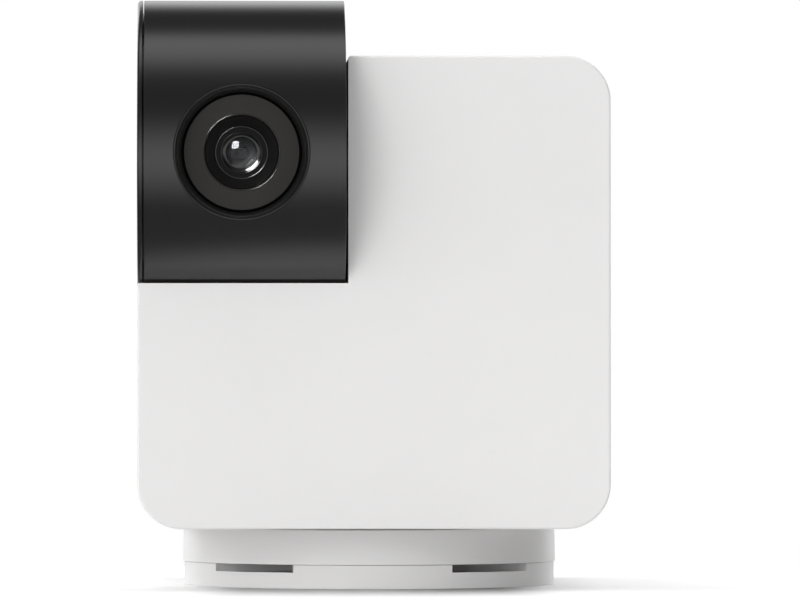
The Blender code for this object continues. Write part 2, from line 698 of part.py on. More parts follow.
def ear_offsets(turn):
    """Where a motor's two ears lie round its shaft, across the line to the wheel that it drives."""
    reach = EAR_SPACING / 2
    angles = (turn + math.pi / 2, turn - math.pi / 2)
    return [(reach * math.cos(angle), reach * math.sin(angle)) for angle in angles]


def make_front_housing(white):
    """The head's shell, open at the back, with the drum's cradle, its side wall and the motors' bosses."""
    centre = (0, 0, HEAD_MIDDLE)
    sections = [(head_outline(0), -SHELL_END_PLANE)] + rounded_end(-FACE_PLANE, HEAD_FRONT_ROUND, 2)
    housing = solid("front_housing", lofted(sections), white, centre, FORWARD)
    room = prism(head_outline(HEAD_WALL), -SHELL_END_PLANE - CUT_OVERRUN, -FACE_PLANE - HEAD_WALL)
    room = solid("head_room", room, None, centre, FORWARD)
    drum_place = (0, DRUM_Y, DRUM_Z)
    cradle = cylinder(CRADLE_RADIUS + CRADLE_WALL, DRUM_LEFT - CUT_OVERRUN, CHEEK_INSIDE, DRUM_STEPS)
    cut(room, solid("cradle_solid", cradle, None, drum_place, RIGHT))
    cut(housing, room)
    bay = cylinder(CRADLE_RADIUS, DRUM_LEFT - CUT_OVERRUN, CHEEK_OUTSIDE, DRUM_STEPS)
    cut(housing, solid("drum_bay", bay, None, drum_place, RIGHT))
    bush_radius = TRUNNION_RADIUS + SEAT_GAP + TILT_BUSH_WALL + SEAT_GAP
    hole = cylinder(bush_radius, CHEEK_OUTSIDE - CUT_OVERRUN, CHEEK_INSIDE + CUT_OVERRUN, LENS_STEPS)
    cut(housing, solid("tilt_bush_hole", hole, None, drum_place, RIGHT))
    cut(housing, notch_round_cutter())
    add_gussets(housing)
    for number, (side, level) in enumerate(hook_places(), 1):
        cut(housing, solid(f"hook_pocket_{number}", hook_pocket(side), None, (0, 0, level)))
    bush_radius = SPINDLE_RADIUS + SEAT_GAP + PAN_BUSH_WALL + SEAT_GAP
    hole = cylinder(bush_radius, HEAD_BOTTOM - CUT_OVERRUN, HEAD_FLOOR + CUT_OVERRUN, LENS_STEPS)
    cut(housing, solid("pan_bush_hole", hole))
    pan_centre = (PAN_PINION_X, PAN_PINION_Y, 0)
    add_bosses(housing, "pan", UP, pan_centre, PAN_PINION_ANGLE, HEAD_FLOOR, PAN_BRACKET_BOTTOM)
    tilt_centre = (0, TILT_PINION_Y, TILT_PINION_Z)
    add_bosses(housing, "tilt", RIGHT, tilt_centre, TILT_PINION_ANGLE, CHEEK_INSIDE, TILT_BRACKET_START)
    return housing


def notch_round_cutter():
    """The outside of a fillet, along the edge where the notch's side meets the head's roof."""
    roof = HEAD_BOTTOM + HEAD_HEIGHT
    inside = CHEEK_OUTSIDE + NOTCH_ROUND
    outside = CHEEK_OUTSIDE - CUT_OVERRUN
    outline = [(inside, -roof - CUT_OVERRUN), (outside, -roof - CUT_OVERRUN), (outside, NOTCH_ROUND - roof)]
    for step in range(ARC_STEPS + 1):
        angle = math.pi / 2 * step / ARC_STEPS
        across = inside - NOTCH_ROUND * math.cos(angle)
        outline.append((across, NOTCH_ROUND * (1 - math.sin(angle)) - roof))
    notch_end = DRUM_Y + math.sqrt(CRADLE_RADIUS**2 - (roof - DRUM_Z) ** 2)
    corner = prism(outline, FACE_PLANE - CUT_OVERRUN, notch_end)
    return solid("notch_round", corner, None, (0, 0, 0), BACKWARD)


def add_gussets(housing):
    """Ribs in the corner below the cradle, between it and the front wall."""
    wall = FACE_PLANE + HEAD_WALL - UNION_SINK
    middle_radius = CRADLE_RADIUS + CRADLE_WALL / 2
    meeting = DRUM_Z - math.sqrt(middle_radius**2 - (wall - DRUM_Y) ** 2)
    corners = ((wall, meeting - GUSSET_DROP), (DRUM_Y, DRUM_Z - middle_radius), (wall, meeting))
    outline = [(-height, y) for y, height in corners]
    for number, side in enumerate((-1, 1), 1):
        middle = DRUM_MIDDLE + side * GUSSET_SPACING / 2
        rib = prism(outline, middle - GUSSET_THICKNESS / 2, middle + GUSSET_THICKNESS / 2)
        fuse(housing, solid(f"gusset_{number}", rib, None, (0, 0, 0), RIGHT))


def hook_places():
    """The side of the head and the height of each snap hook."""
    return [(side, HEAD_MIDDLE + way * HOOK_SPACING / 2) for side in (-1, 1) for way in (-1, 1)]


def hook_span():
    """Where the hooks lie, from front to back."""
    back = SHELL_END_PLANE - HOOK_SETBACK
    return back - HOOK_THICKNESS, back


def snap_hook(side):
    """A wedge on the cover's lip, which rises from its front to its full reach behind."""
    front, back = hook_span()
    lip_face = HEAD_WIDTH / 2 - HEAD_WALL - SEAT_GAP
    reach = lip_face + SEAT_GAP + HOOK_REACH
    sunk = lip_face - UNION_SINK
    outline = [(sunk, front), (lip_face, front), (reach, back), (sunk, back)]
    return prism([(side * x, y) for x, y in outline], -HOOK_LENGTH / 2, HOOK_LENGTH / 2)


def hook_pocket(side):
    """The pocket in the shell's wall that a hook snaps into."""
    front, back = hook_span()
    inside = HEAD_WIDTH / 2 - HEAD_WALL - CUT_OVERRUN
    depth = CUT_OVERRUN + HOOK_REACH + SEAT_GAP
    length = back - front + 2 * SEAT_GAP
    half = HOOK_LENGTH / 2 + SEAT_GAP
    return block(depth, length, -half, half, (side * (inside + depth / 2), (front + back) / 2))


def add_bosses(housing, name, facing, centre, turn, wall, bracket):
    """Two bosses that rise from a wall to just below a motor bracket, each with a screw bore."""
    top = bracket - SEAT_GAP
    for number, (x, y) in enumerate(ear_offsets(turn), 1):
        boss = moved(cylinder(BOSS_RADIUS, wall - UNION_SINK, top), (x, y, 0))
        bore = cylinder(SMALL_SHANK_RADIUS + SEAT_GAP, top - SMALL_SHANK_LENGTH, top + CUT_OVERRUN)
        fuse(housing, solid(f"{name}_boss_{number}", boss, None, centre, facing))
        cut(housing, solid(f"{name}_boss_bore_{number}", moved(bore, (x, y, 0)), None, centre, facing))


def sound_hole_places():
    """Rings of small holes round one in the middle."""
    places = [(0.0, 0.0)]
    for ring in range(1, SOUND_RINGS + 1):
        places += on_circle(SOUND_RING_PITCH * ring, 6 * ring)
    return places


def board_boss_places():
    across = BOARD_WIDTH / 2 - BOARD_BOSS_INSET
    along = BOARD_HEIGHT / 2 - BOARD_BOSS_INSET
    middle = BOARD_MIDDLE - HEAD_MIDDLE
    return [(x * across, middle + y * along) for x in (-1, 1) for y in (-1, 1)]


def make_rear_cover(white):
    """The back of the head: a rounded plate with a lip, sound holes, power opening and button guide."""
    centre = (0, 0, HEAD_MIDDLE)
    sections = [(head_outline(0), COVER_INNER_PLANE)] + rounded_end(BACK_PLANE, HEAD_REAR_ROUND, 3)
    cover = solid("rear_cover", lofted(sections), white, centre, BACKWARD)
    lip_inset = HEAD_WALL + SEAT_GAP
    lip_end = COVER_INNER_PLANE - COVER_LIP_DEPTH
    lip = prism(head_outline(lip_inset), lip_end, COVER_INNER_PLANE + UNION_SINK)
    lip = solid("cover_lip", lip, None, centre, BACKWARD)
    room_outline = head_outline(lip_inset + COVER_LIP_WALL)
    lip_room = prism(room_outline, lip_end - CUT_OVERRUN, COVER_INNER_PLANE)
    cut(lip, solid("cover_lip_room", lip_room, None, centre, BACKWARD))
    fuse(cover, lip)
    for number, (side, level) in enumerate(hook_places(), 1):
        fuse(cover, solid(f"snap_hook_{number}", snap_hook(side), None, (0, 0, level)))
    for number, (x, y) in enumerate(board_boss_places(), 1):
        boss = cylinder(BOSS_RADIUS, COVER_INNER_PLANE - BOARD_BOSS_LENGTH, COVER_INNER_PLANE + UNION_SINK)
        bore_end = BOARD_FRONT_PLANE - SEAT_GAP + SMALL_SHANK_LENGTH + SEAT_GAP
        bore = cylinder(SMALL_SHANK_RADIUS + SEAT_GAP, BOARD_BACK_PLANE - CUT_OVERRUN, bore_end)
        fuse(cover, solid(f"board_boss_{number}", moved(boss, (x, -y, 0)), None, centre, BACKWARD))
        cut(cover, solid(f"board_boss_bore_{number}", moved(bore, (x, -y, 0)), None, centre, BACKWARD))
    speaker_rib = (SPEAKER_RIB_WALL, SPEAKER_RIB_DEPTH)
    guide = (BUTTON_GUIDE_WALL, BUTTON_GUIDE_DEPTH)
    ring_places = (
        ("speaker", SPEAKER_RADIUS, *speaker_rib, (0, 0, SPEAKER_LEVEL), LENS_STEPS),
        ("button", BUTTON_RADIUS + BUTTON_FLANGE, *guide, button_place(), RIM_STEPS),
        ("microphone", MICROPHONE_RADIUS, *guide, microphone_place(), RIM_STEPS),
    )
    for name, radius, wall, depth, place, steps in ring_places:
        inner = radius + SEAT_GAP
        outer = inner + wall
        start = COVER_INNER_PLANE - depth
        end = COVER_INNER_PLANE + UNION_SINK
        ring = turned([(inner, start), (outer, start), (outer, end), (inner, end)], steps)
        fuse(cover, solid(name + "_rib", ring, None, place, BACKWARD))
    span = (COVER_INNER_PLANE - CUT_OVERRUN, BACK_PLANE + CUT_OVERRUN)
    holes = [
        moved(cylinder(SOUND_HOLE_RADIUS, *span, SMALL_STEPS), (x, y, 0))
        for x, y in sound_hole_places()
    ]
    cut(cover, solid("sound_holes", gathered(holes), None, (0, 0, SPEAKER_LEVEL), BACKWARD))
    opening = stadium(SOCKET_WIDTH + 2 * SEAT_GAP, SOCKET_HEIGHT + 2 * SEAT_GAP)
    cut(cover, solid("power_opening", prism(opening, *span), None, (0, 0, SOCKET_LEVEL), BACKWARD))
    button_hole = cylinder(BUTTON_RADIUS + SEAT_GAP, *span, RIM_STEPS)
    cut(cover, solid("button_hole", button_hole, None, button_place(), BACKWARD))
    microphone_hole = cylinder(MICROPHONE_HOLE_RADIUS, *span)
    return cut(cover, solid("microphone_hole", microphone_hole, None, microphone_place(), BACKWARD))


def button_place():
    return (BUTTON_ACROSS, 0, SOCKET_LEVEL)


def microphone_place():
    return (MICROPHONE_ACROSS, 0, SOCKET_LEVEL)


# Pan drive in the head


def make_pan_bush(bronze):
    inner = SPINDLE_RADIUS + SEAT_GAP
    outer = inner + PAN_BUSH_WALL
    flange = outer + PAN_BUSH_FLANGE
    flange_bottom = HEAD_FLOOR + SEAT_GAP
    profile = [(inner, HEAD_BOTTOM), (outer, HEAD_BOTTOM), (outer, flange_bottom), (flange, flange_bottom)]
    profile += [(flange, FLANGE_TOP), (inner, FLANGE_TOP)]
    return solid("pan_bush", turned(profile), bronze)


def make_motor(name, steel, place, facing, turn, reach):
    """A can motor with two ears. Its shaft runs down its own Z, past the bracket and into the pinion."""
    profile = [(0, -reach), (MOTOR_SHAFT_RADIUS, -reach), (MOTOR_SHAFT_RADIUS, 0), (MOTOR_RADIUS, 0)]
    profile += quarter_round(MOTOR_RADIUS, MOTOR_LENGTH, MOTOR_ROUND, 1, 1, 2)
    profile += [(0, MOTOR_LENGTH)]
    motor = solid(name, turned(profile, RIM_STEPS), steel, place, facing, turn)
    ears = prism(stadium(EAR_SPACING + 2 * EAR_RADIUS, 2 * EAR_RADIUS), 0, EAR_THICKNESS)
    fuse(motor, solid(name + "_ears", ears, None, place, facing, turn + math.pi / 2))
    hole_radius = SMALL_SHANK_RADIUS + SEAT_GAP
    holes = [
        moved(cylinder(hole_radius, -CUT_OVERRUN, EAR_THICKNESS + CUT_OVERRUN), (x, y, 0))
        for x, y in ear_offsets(turn)
    ]
    return cut(motor, solid(name + "_ear_holes", gathered(holes), None, place, facing))


def make_bracket(name, steel, place, facing, turn):
    """A pressed plate under a motor, with a hole for the shaft and one at each ear."""
    length = EAR_SPACING + 2 * BOSS_RADIUS
    plate = prism(rounded_rectangle(length, 2 * BRACKET_HALF_WIDTH, BOSS_RADIUS), 0, BRACKET_THICKNESS)
    bracket = solid(name, plate, steel, place, facing, turn + math.pi / 2)
    span = (-CUT_OVERRUN, BRACKET_THICKNESS + CUT_OVERRUN)
    hole_radius = SMALL_SHANK_RADIUS + SEAT_GAP
    holes = [moved(cylinder(hole_radius, *span), (x, y, 0)) for x, y in ear_offsets(turn)]
    holes.append(cylinder(BRACKET_HOLE_RADIUS, *span, RIM_STEPS))
    return cut(bracket, solid(name + "_holes", gathered(holes), None, place, facing))


def make_pan_drive(bronze, steel, nylon):
    make_pan_bush(bronze)
    bracket_place = (PAN_PINION_X, PAN_PINION_Y, PAN_BRACKET_BOTTOM)
    make_bracket("pan_bracket", steel, bracket_place, UP, PAN_PINION_ANGLE)
    motor_place = (PAN_PINION_X, PAN_PINION_Y, PAN_MOTOR_FACE)
    reach = PAN_MOTOR_FACE - PAN_GEAR_BOTTOM
    make_motor("pan_motor", steel, motor_place, UP, PAN_PINION_ANGLE, reach)
    for number, (x, y) in enumerate(ear_offsets(PAN_PINION_ANGLE), 1):
        place = (PAN_PINION_X + x, PAN_PINION_Y + y, PAN_MOTOR_FACE + EAR_THICKNESS + SEAT_GAP)
        screw(f"pan_bracket_screw_{number}", steel, place, DOWN)
    pivot = axis_empty("pan_pinion_pivot", (PAN_PINION_X, PAN_PINION_Y, PAN_GEAR_BOTTOM))
    turn = pinion_turn(PAN_PINION_ANGLE, PAN_PINION_TEETH)
    spur_gear("pan_pinion", PAN_PINION_TEETH, PINION_BORE_RADIUS, nylon, (0, 0, 0), UP, turn, pivot)


# Tilt drive in the head


def tilt_place(across):
    """A point on the tilt pinion's axis."""
    return (across, TILT_PINION_Y, TILT_PINION_Z)


def make_tilt_bush(bronze):
    inner = TRUNNION_RADIUS + SEAT_GAP
    outer = inner + TILT_BUSH_WALL
    flange = outer + TILT_BUSH_FLANGE
    flange_start = CHEEK_INSIDE + SEAT_GAP
    profile = [(inner, CHEEK_OUTSIDE), (outer, CHEEK_OUTSIDE), (outer, flange_start), (flange, flange_start)]
    profile += [(flange, TILT_FLANGE_END), (inner, TILT_FLANGE_END)]
    return solid("tilt_bush", turned(profile), bronze, (0, DRUM_Y, DRUM_Z), RIGHT)


def make_tilt_drive(bronze, steel, nylon):
    make_tilt_bush(bronze)
    make_bracket("tilt_bracket", steel, tilt_place(TILT_BRACKET_START), RIGHT, TILT_PINION_ANGLE)
    reach = TILT_MOTOR_FACE - TILT_GEAR_START
    make_motor("tilt_motor", steel, tilt_place(TILT_MOTOR_FACE), RIGHT, TILT_PINION_ANGLE, reach)
    for number, (x, y) in enumerate(ear_offsets(TILT_PINION_ANGLE), 1):
        across = TILT_MOTOR_FACE + EAR_THICKNESS + SEAT_GAP
        place = (across, TILT_PINION_Y + y, TILT_PINION_Z - x)
        screw(f"tilt_bracket_screw_{number}", steel, place, LEFT)
    pivot = axis_empty("tilt_pinion_pivot", tilt_place(TILT_GEAR_START))
    turn = pinion_turn(TILT_PINION_ANGLE, TILT_PINION_TEETH)
    spur_gear("tilt_pinion", TILT_PINION_TEETH, PINION_BORE_RADIUS, nylon, (0, 0, 0), RIGHT, turn, pivot)


# Drum


def make_drum_sleeve(black, pivot):
    """The drum's tube, between the end cap's seam and the hub, with the lens hole in front."""
    start = DRUM_LEFT + END_CAP_THICKNESS + SEAM_GAP - DRUM_MIDDLE
    end = DRUM_RIGHT - DRUM_MIDDLE
    profile = [(DRUM_BORE_RADIUS, start), (DRUM_RADIUS, start)]
    profile += quarter_round(DRUM_RADIUS, end, SEAM_GAP, 1, 1, 2) + [(DRUM_BORE_RADIUS, end)]
    sleeve = solid("drum_sleeve", turned(profile, DRUM_STEPS), black, (0, 0, 0), RIGHT, carrier=pivot)
    hole = cylinder(LENS_HOLE_RADIUS, DRUM_RADIUS / 2, DRUM_RADIUS + CUT_OVERRUN, LENS_STEPS)
    return cut(sleeve, solid("lens_hole", hole, None, (0, 0, 0), FORWARD, carrier=pivot))


def make_end_cap(black, pivot):
    """A disc with a rounded rim and a spigot that plugs the drum's left end."""
    outside = DRUM_LENGTH / 2
    inside = outside - END_CAP_THICKNESS
    spigot_end = inside - SEAM_GAP - END_CAP_SPIGOT
    spigot = DRUM_BORE_RADIUS - SEAT_GAP
    profile = [(0, inside - SEAM_GAP), (spigot - END_CAP_SPIGOT_WALL, inside - SEAM_GAP)]
    profile += [(spigot - END_CAP_SPIGOT_WALL, spigot_end), (spigot, spigot_end), (spigot, inside)]
    profile += [(DRUM_RADIUS, inside)]
    profile += quarter_round(DRUM_RADIUS, outside, END_CAP_ROUND, 1, 1) + [(0, outside)]
    return solid("drum_end_cap", turned(profile, DRUM_STEPS), black, (0, 0, 0), LEFT, carrier=pivot)


def make_drum_hub(black, pivot):
    """The drum's right end: a rimmed plate, the hollow trunnion and the arm that carries the sensor board."""
    end = DRUM_RIGHT - DRUM_MIDDLE
    rim = DRUM_BORE_RADIUS - SEAT_GAP
    plate_start = end - HUB_THICKNESS
    rim_start = plate_start - HUB_RIM_DEPTH
    groove_start = TILT_GEAR_END - DRUM_MIDDLE
    groove_end = CLIP_GROOVE_END - DRUM_MIDDLE
    tip = TRUNNION_TIP - DRUM_MIDDLE
    groove = TRUNNION_RADIUS - CLIP_GROOVE_DEPTH
    rim_inner = rim - HUB_RIM_WALL
    profile = [(TRUNNION_BORE_RADIUS, plate_start), (rim_inner, plate_start), (rim_inner, rim_start)]
    profile += [(rim, rim_start), (rim, end), (TRUNNION_RADIUS, end)]
    profile += [(TRUNNION_RADIUS, groove_start), (groove, groove_start), (groove, groove_end)]
    profile += [(TRUNNION_RADIUS, groove_end), (TRUNNION_RADIUS, tip), (TRUNNION_BORE_RADIUS, tip)]
    hub = solid("drum_hub", turned(profile, LENS_STEPS), black, (0, 0, 0), RIGHT, carrier=pivot)
    arm_front = -SENSOR_BOARD_THICKNESS - SEAT_GAP
    arm_length = plate_start + UNION_SINK + HOLDER_BASE_LENGTH / 2
    arm_middle = (plate_start + UNION_SINK - HOLDER_BASE_LENGTH / 2) / 2
    arm_back = arm_front - ARM_THICKNESS
    arm = block(arm_length, ARM_HEIGHT, arm_back, arm_front, (arm_middle, 0))
    arm = solid("sensor_arm", arm, None, (0, 0, 0), FORWARD, carrier=pivot)
    fuse(hub, arm)
    cut(hub, sensor_screw_holes("arm_holes", arm_back - CUT_OVERRUN, arm_front + SEAT_GAP, pivot))
    key = block(KEY_WIDTH, KEY_HEIGHT + UNION_SINK, TILT_GEAR_START - DRUM_MIDDLE, groove_start)
    key_centre = TRUNNION_RADIUS + KEY_HEIGHT - (KEY_HEIGHT + UNION_SINK) / 2
    key = moved(key, (0, key_centre, 0))
    return fuse(hub, solid("trunnion_key", key, None, (0, 0, 0), RIGHT, carrier=pivot))


def sensor_screw_holes(name, start, end, pivot):
    radius = SMALL_SHANK_RADIUS + SEAT_GAP
    reach = SENSOR_SCREW_SPACING / 2
    holes = [moved(cylinder(radius, start, end), (side * reach, 0, 0)) for side in (-1, 1)]
    return solid(name, gathered(holes), None, (0, 0, 0), FORWARD, carrier=pivot)


def make_tilt_gear(nylon, pivot):
    place = (TILT_GEAR_START - DRUM_MIDDLE, 0, 0)
    bore_radius = TRUNNION_RADIUS + SEAT_GAP
    gear = spur_gear("tilt_gear", TILT_GEAR_TEETH, bore_radius, nylon, place, RIGHT, TILT_PINION_ANGLE, pivot)
    reach = TRUNNION_RADIUS + KEY_HEIGHT + SEAT_GAP
    span = (-CUT_OVERRUN, GEAR_THICKNESS + CUT_OVERRUN)
    keyway = block(KEY_WIDTH + 2 * SEAT_GAP, reach, *span, (0, reach / 2))
    return cut(gear, solid("tilt_keyway", keyway, None, place, RIGHT, carrier=pivot))


def make_tilt_clip(steel, pivot):
    """An open ring in the trunnion's groove, which keeps the gear on."""
    inner = TRUNNION_RADIUS - CLIP_GROOVE_DEPTH + SEAT_GAP
    start = TILT_GEAR_END + SEAT_GAP - DRUM_MIDDLE
    outline = sector(inner, inner + CLIP_WIDTH, CLIP_OPENING / 2, 2 * math.pi - CLIP_OPENING / 2, RIM_STEPS)
    clip = prism(outline, start, start + CLIP_THICKNESS)
    return solid("tilt_clip", clip, steel, (0, 0, 0), RIGHT, carrier=pivot)


# Lens and sensor


def lens_piece(name, profile, material, pivot, steps=LENS_STEPS):
    return solid(name, turned(profile, steps), material, (0, 0, 0), FORWARD, carrier=pivot)


def bezel_bore():
    """The bezel's bore behind the mask, which holds the lamp board."""
    return LENS_HOLE_RADIUS - SEAT_GAP - BEZEL_RIM - BEZEL_LEDGE


def make_bezel(black, pivot):
    """A ring in the lens hole, with a ledge for the mask and a flange behind the drum's wall."""
    outer = LENS_HOLE_RADIUS - SEAT_GAP
    inner = outer - BEZEL_RIM
    rear = BEZEL_FRONT - BEZEL_DEPTH
    ledge = MASK_FRONT - MASK_THICKNESS - SEAT_GAP
    flange_front = rear + BEZEL_FLANGE_THICKNESS
    profile = [(bezel_bore(), rear), (outer + BEZEL_FLANGE, rear), (outer + BEZEL_FLANGE, flange_front)]
    profile += [(outer, flange_front), (outer, BEZEL_FRONT - BEZEL_CHAMFER)]
    profile += [(outer - BEZEL_CHAMFER, BEZEL_FRONT)]
    profile += [(inner + BEZEL_CHAMFER, BEZEL_FRONT), (inner, BEZEL_FRONT - 2 * BEZEL_CHAMFER)]
    profile += [(inner, ledge), (bezel_bore(), ledge)]
    return lens_piece("lens_bezel", profile, black, pivot)


def make_mask(grey, pivot):
    outer = LENS_HOLE_RADIUS - BEZEL_RIM - 2 * SEAT_GAP
    rear = MASK_FRONT - MASK_THICKNESS
    inner = MASK_APERTURE_RADIUS
    profile = [(inner, rear), (outer, rear), (outer, MASK_FRONT)]
    profile += [(inner + MASK_CHAMFER, MASK_FRONT), (inner, MASK_FRONT - MASK_CHAMFER)]
    return lens_piece("lens_mask", profile, grey, pivot)


def make_lamp_board(green, pivot):
    """A ring of night lamps behind the mask."""
    outer = bezel_bore() - SEAT_GAP
    inner = outer - LAMP_BOARD_WIDTH
    top = MASK_FRONT - MASK_THICKNESS - SEAT_GAP - LAMP_HEIGHT
    bottom = top - LAMP_BOARD_THICKNESS
    profile = [(inner, bottom), (outer, bottom), (outer, top), (inner, top)]
    board = lens_piece("lamp_board", profile, green, pivot)
    places = on_circle((inner + outer) / 2, LAMP_COUNT)
    span = (top - UNION_SINK, top + LAMP_HEIGHT)
    lamps = [moved(block(LAMP_SIDE, LAMP_SIDE, *span), (x, y, 0)) for x, y in places]
    return fuse(board, solid("lamps", gathered(lamps), None, (0, 0, 0), FORWARD, carrier=pivot))


def make_barrel(black, pivot):
    """The lens barrel: a plain bore behind, and a seat for the front element and its ring."""
    mouth = BARREL_NECK_RADIUS - BARREL_LIP
    profile = [(BARREL_BORE_RADIUS, BARREL_REAR), (BARREL_RADIUS, BARREL_REAR)]
    profile += [(BARREL_RADIUS, BARREL_SHOULDER), (BARREL_NECK_RADIUS, BARREL_SHOULDER)]
    profile += [(BARREL_NECK_RADIUS, BARREL_FRONT - BARREL_LIP)]
    profile += [(mouth, BARREL_FRONT), (mouth - BARREL_LIP, BARREL_FRONT)]
    profile += [(BARREL_SEAT_RADIUS, retainer_ring_top()), (BARREL_SEAT_RADIUS, BARREL_SEAT)]
    profile += [(BARREL_BORE_RADIUS, BARREL_SEAT)]
    return lens_piece("lens_barrel", profile, black, pivot)


def retainer_ring_top():
    return BARREL_SEAT + 2 * SEAT_GAP + ELEMENT_EDGE + RETAINER_RING_THICKNESS


def make_lens_retainer(black, pivot):
    bottom = BARREL_SEAT + 2 * SEAT_GAP + ELEMENT_EDGE
    top = retainer_ring_top()
    inner = ELEMENT_DOME_RADIUS + SEAT_GAP
    outer = BARREL_SEAT_RADIUS - SEAT_GAP
    profile = [(inner, bottom), (outer, bottom), (outer, top), (inner, top)]
    return lens_piece("lens_retainer", profile, black, pivot)


def dome(radius, rise, base, steps):
    """Points of a spherical cap's section, from its edge to its crown on the axis."""
    sphere = (radius * radius + rise * rise) / (2 * rise)
    full = math.asin(radius / sphere)
    angles = [full * (1 - step / steps) for step in range(steps + 1)]
    centre = base + rise - sphere
    points = [(sphere * math.sin(angle), centre + sphere * math.cos(angle)) for angle in angles]
    return points[:-1] + [(0, base + rise)]


def make_front_element(glass, pivot):
    rear = BARREL_SEAT + SEAT_GAP
    edge = rear + ELEMENT_EDGE
    outer = BARREL_SEAT_RADIUS - SEAT_GAP
    profile = [(0, rear), (outer, rear), (outer, edge)]
    profile += dome(ELEMENT_DOME_RADIUS, ELEMENT_DOME_HEIGHT, edge, 5)
    return lens_piece("front_element", profile, glass, pivot)


def make_rear_element(glass, pivot):
    outer = BARREL_BORE_RADIUS - SEAT_GAP
    top = REAR_ELEMENT_PLACE + REAR_ELEMENT_EDGE
    bulge = dome(outer, REAR_ELEMENT_BULGE, 0, 3)
    behind = [(radius, REAR_ELEMENT_PLACE - height) for radius, height in bulge]
    profile = behind[::-1] + dome(outer, REAR_ELEMENT_BULGE, top, 3)
    return lens_piece("rear_element", profile, glass, pivot, RIM_STEPS)


def make_iris(black, pivot):
    outer = BARREL_BORE_RADIUS - SEAT_GAP
    end = IRIS_PLACE + IRIS_THICKNESS
    profile = [(IRIS_RADIUS, IRIS_PLACE), (outer, IRIS_PLACE), (outer, end), (IRIS_RADIUS, end)]
    return lens_piece("iris_plate", profile, black, pivot, RIM_STEPS)


def make_lens_holder(black, pivot):
    """The block over the sensor, with the tube that the barrel stands in."""
    base = block(HOLDER_BASE_LENGTH, HOLDER_BASE_SIDE, SEAT_GAP, SEAT_GAP + HOLDER_BASE_HEIGHT)
    holder = solid("lens_holder", base, black, (0, 0, 0), FORWARD, carrier=pivot)
    bore = BARREL_RADIUS + SEAT_GAP
    tube = cylinder(bore + HOLDER_TUBE_WALL, HOLDER_BASE_HEIGHT - UNION_SINK, HOLDER_TUBE_END, LENS_STEPS)
    fuse(holder, solid("holder_tube", tube, None, (0, 0, 0), FORWARD, carrier=pivot))
    hole = cylinder(bore, HOLDER_ROOM_HEIGHT / 2, HOLDER_TUBE_END + CUT_OVERRUN, LENS_STEPS)
    cut(holder, solid("holder_bore", hole, None, (0, 0, 0), FORWARD, carrier=pivot))
    room = block(HOLDER_ROOM_SIDE, HOLDER_ROOM_SIDE, -CUT_OVERRUN, HOLDER_ROOM_HEIGHT)
    cut(holder, solid("holder_room", room, None, (0, 0, 0), FORWARD, carrier=pivot))
    holes = sensor_screw_holes("holder_holes", -CUT_OVERRUN, HOLDER_BASE_HEIGHT + CUT_OVERRUN, pivot)
    return cut(holder, holes)


def make_sensor(green, black, steel, pivot):
    board = block(HOLDER_BASE_LENGTH, SENSOR_BOARD_HEIGHT, -SENSOR_BOARD_THICKNESS, 0)
    board = solid("sensor_board", board, green, (0, 0, 0), FORWARD, carrier=pivot)
    cut(board, sensor_screw_holes("board_holes", -SENSOR_BOARD_THICKNESS - CUT_OVERRUN, CUT_OVERRUN, pivot))
    chip = block(SENSOR_SIDE, SENSOR_SIDE, SEAT_GAP, SEAT_GAP + SENSOR_THICKNESS)
    solid("image_sensor", chip, black, (0, 0, 0), FORWARD, carrier=pivot)
    back = SENSOR_BOARD_THICKNESS + ARM_THICKNESS + 2 * SEAT_GAP
    for number, side in enumerate((-1, 1), 1):
        place = (side * SENSOR_SCREW_SPACING / 2, back, 0)
        screw(f"sensor_screw_{number}", steel, place, FORWARD, carrier=pivot)


def make_drum(black, grey, glass, green, nylon, steel):
    pivot = axis_empty("drum_pivot", (DRUM_MIDDLE, DRUM_Y, DRUM_Z))
    make_drum_sleeve(black, pivot)
    make_end_cap(black, pivot)
    make_drum_hub(black, pivot)
    make_tilt_gear(nylon, pivot)
    make_tilt_clip(steel, pivot)
    make_bezel(black, pivot)
    make_mask(grey, pivot)
    make_lamp_board(green, pivot)
    make_barrel(black, pivot)
    make_lens_retainer(black, pivot)
    make_front_element(glass, pivot)
    make_rear_element(glass, pivot)
    make_iris(black, pivot)
    make_lens_holder(black, pivot)
    make_sensor(green, black, steel, pivot)


# Electronics


def make_main_board(green, steel):
    centre = (0, 0, BOARD_MIDDLE)
    outline = rounded_rectangle(BOARD_WIDTH, BOARD_HEIGHT, BOARD_CORNER_RADIUS, 2)
    board = solid("main_board", prism(outline, BOARD_FRONT_PLANE, BOARD_BACK_PLANE), green, centre, BACKWARD)
    span = (BOARD_FRONT_PLANE - CUT_OVERRUN, BOARD_BACK_PLANE + CUT_OVERRUN)
    radius = SMALL_SHANK_RADIUS + SEAT_GAP
    holes = [moved(cylinder(radius, *span), (x, -y, 0)) for x, y in board_boss_places()]
    cut(board, solid("main_board_holes", gathered(holes), None, (0, 0, HEAD_MIDDLE), BACKWARD))
    for number, (x, y) in enumerate(board_boss_places(), 1):
        place = (x, BOARD_FRONT_PLANE - SEAT_GAP, HEAD_MIDDLE + y)
        screw(f"board_screw_{number}", steel, place, BACKWARD)
    shield_end = BOARD_FRONT_PLANE - SEAT_GAP
    shield = block(SHIELD_WIDTH, SHIELD_HEIGHT, shield_end - SHIELD_THICKNESS, shield_end)
    solid("shield_can", shield, steel, (0, 0, BOARD_MIDDLE + SHIELD_RISE), BACKWARD)


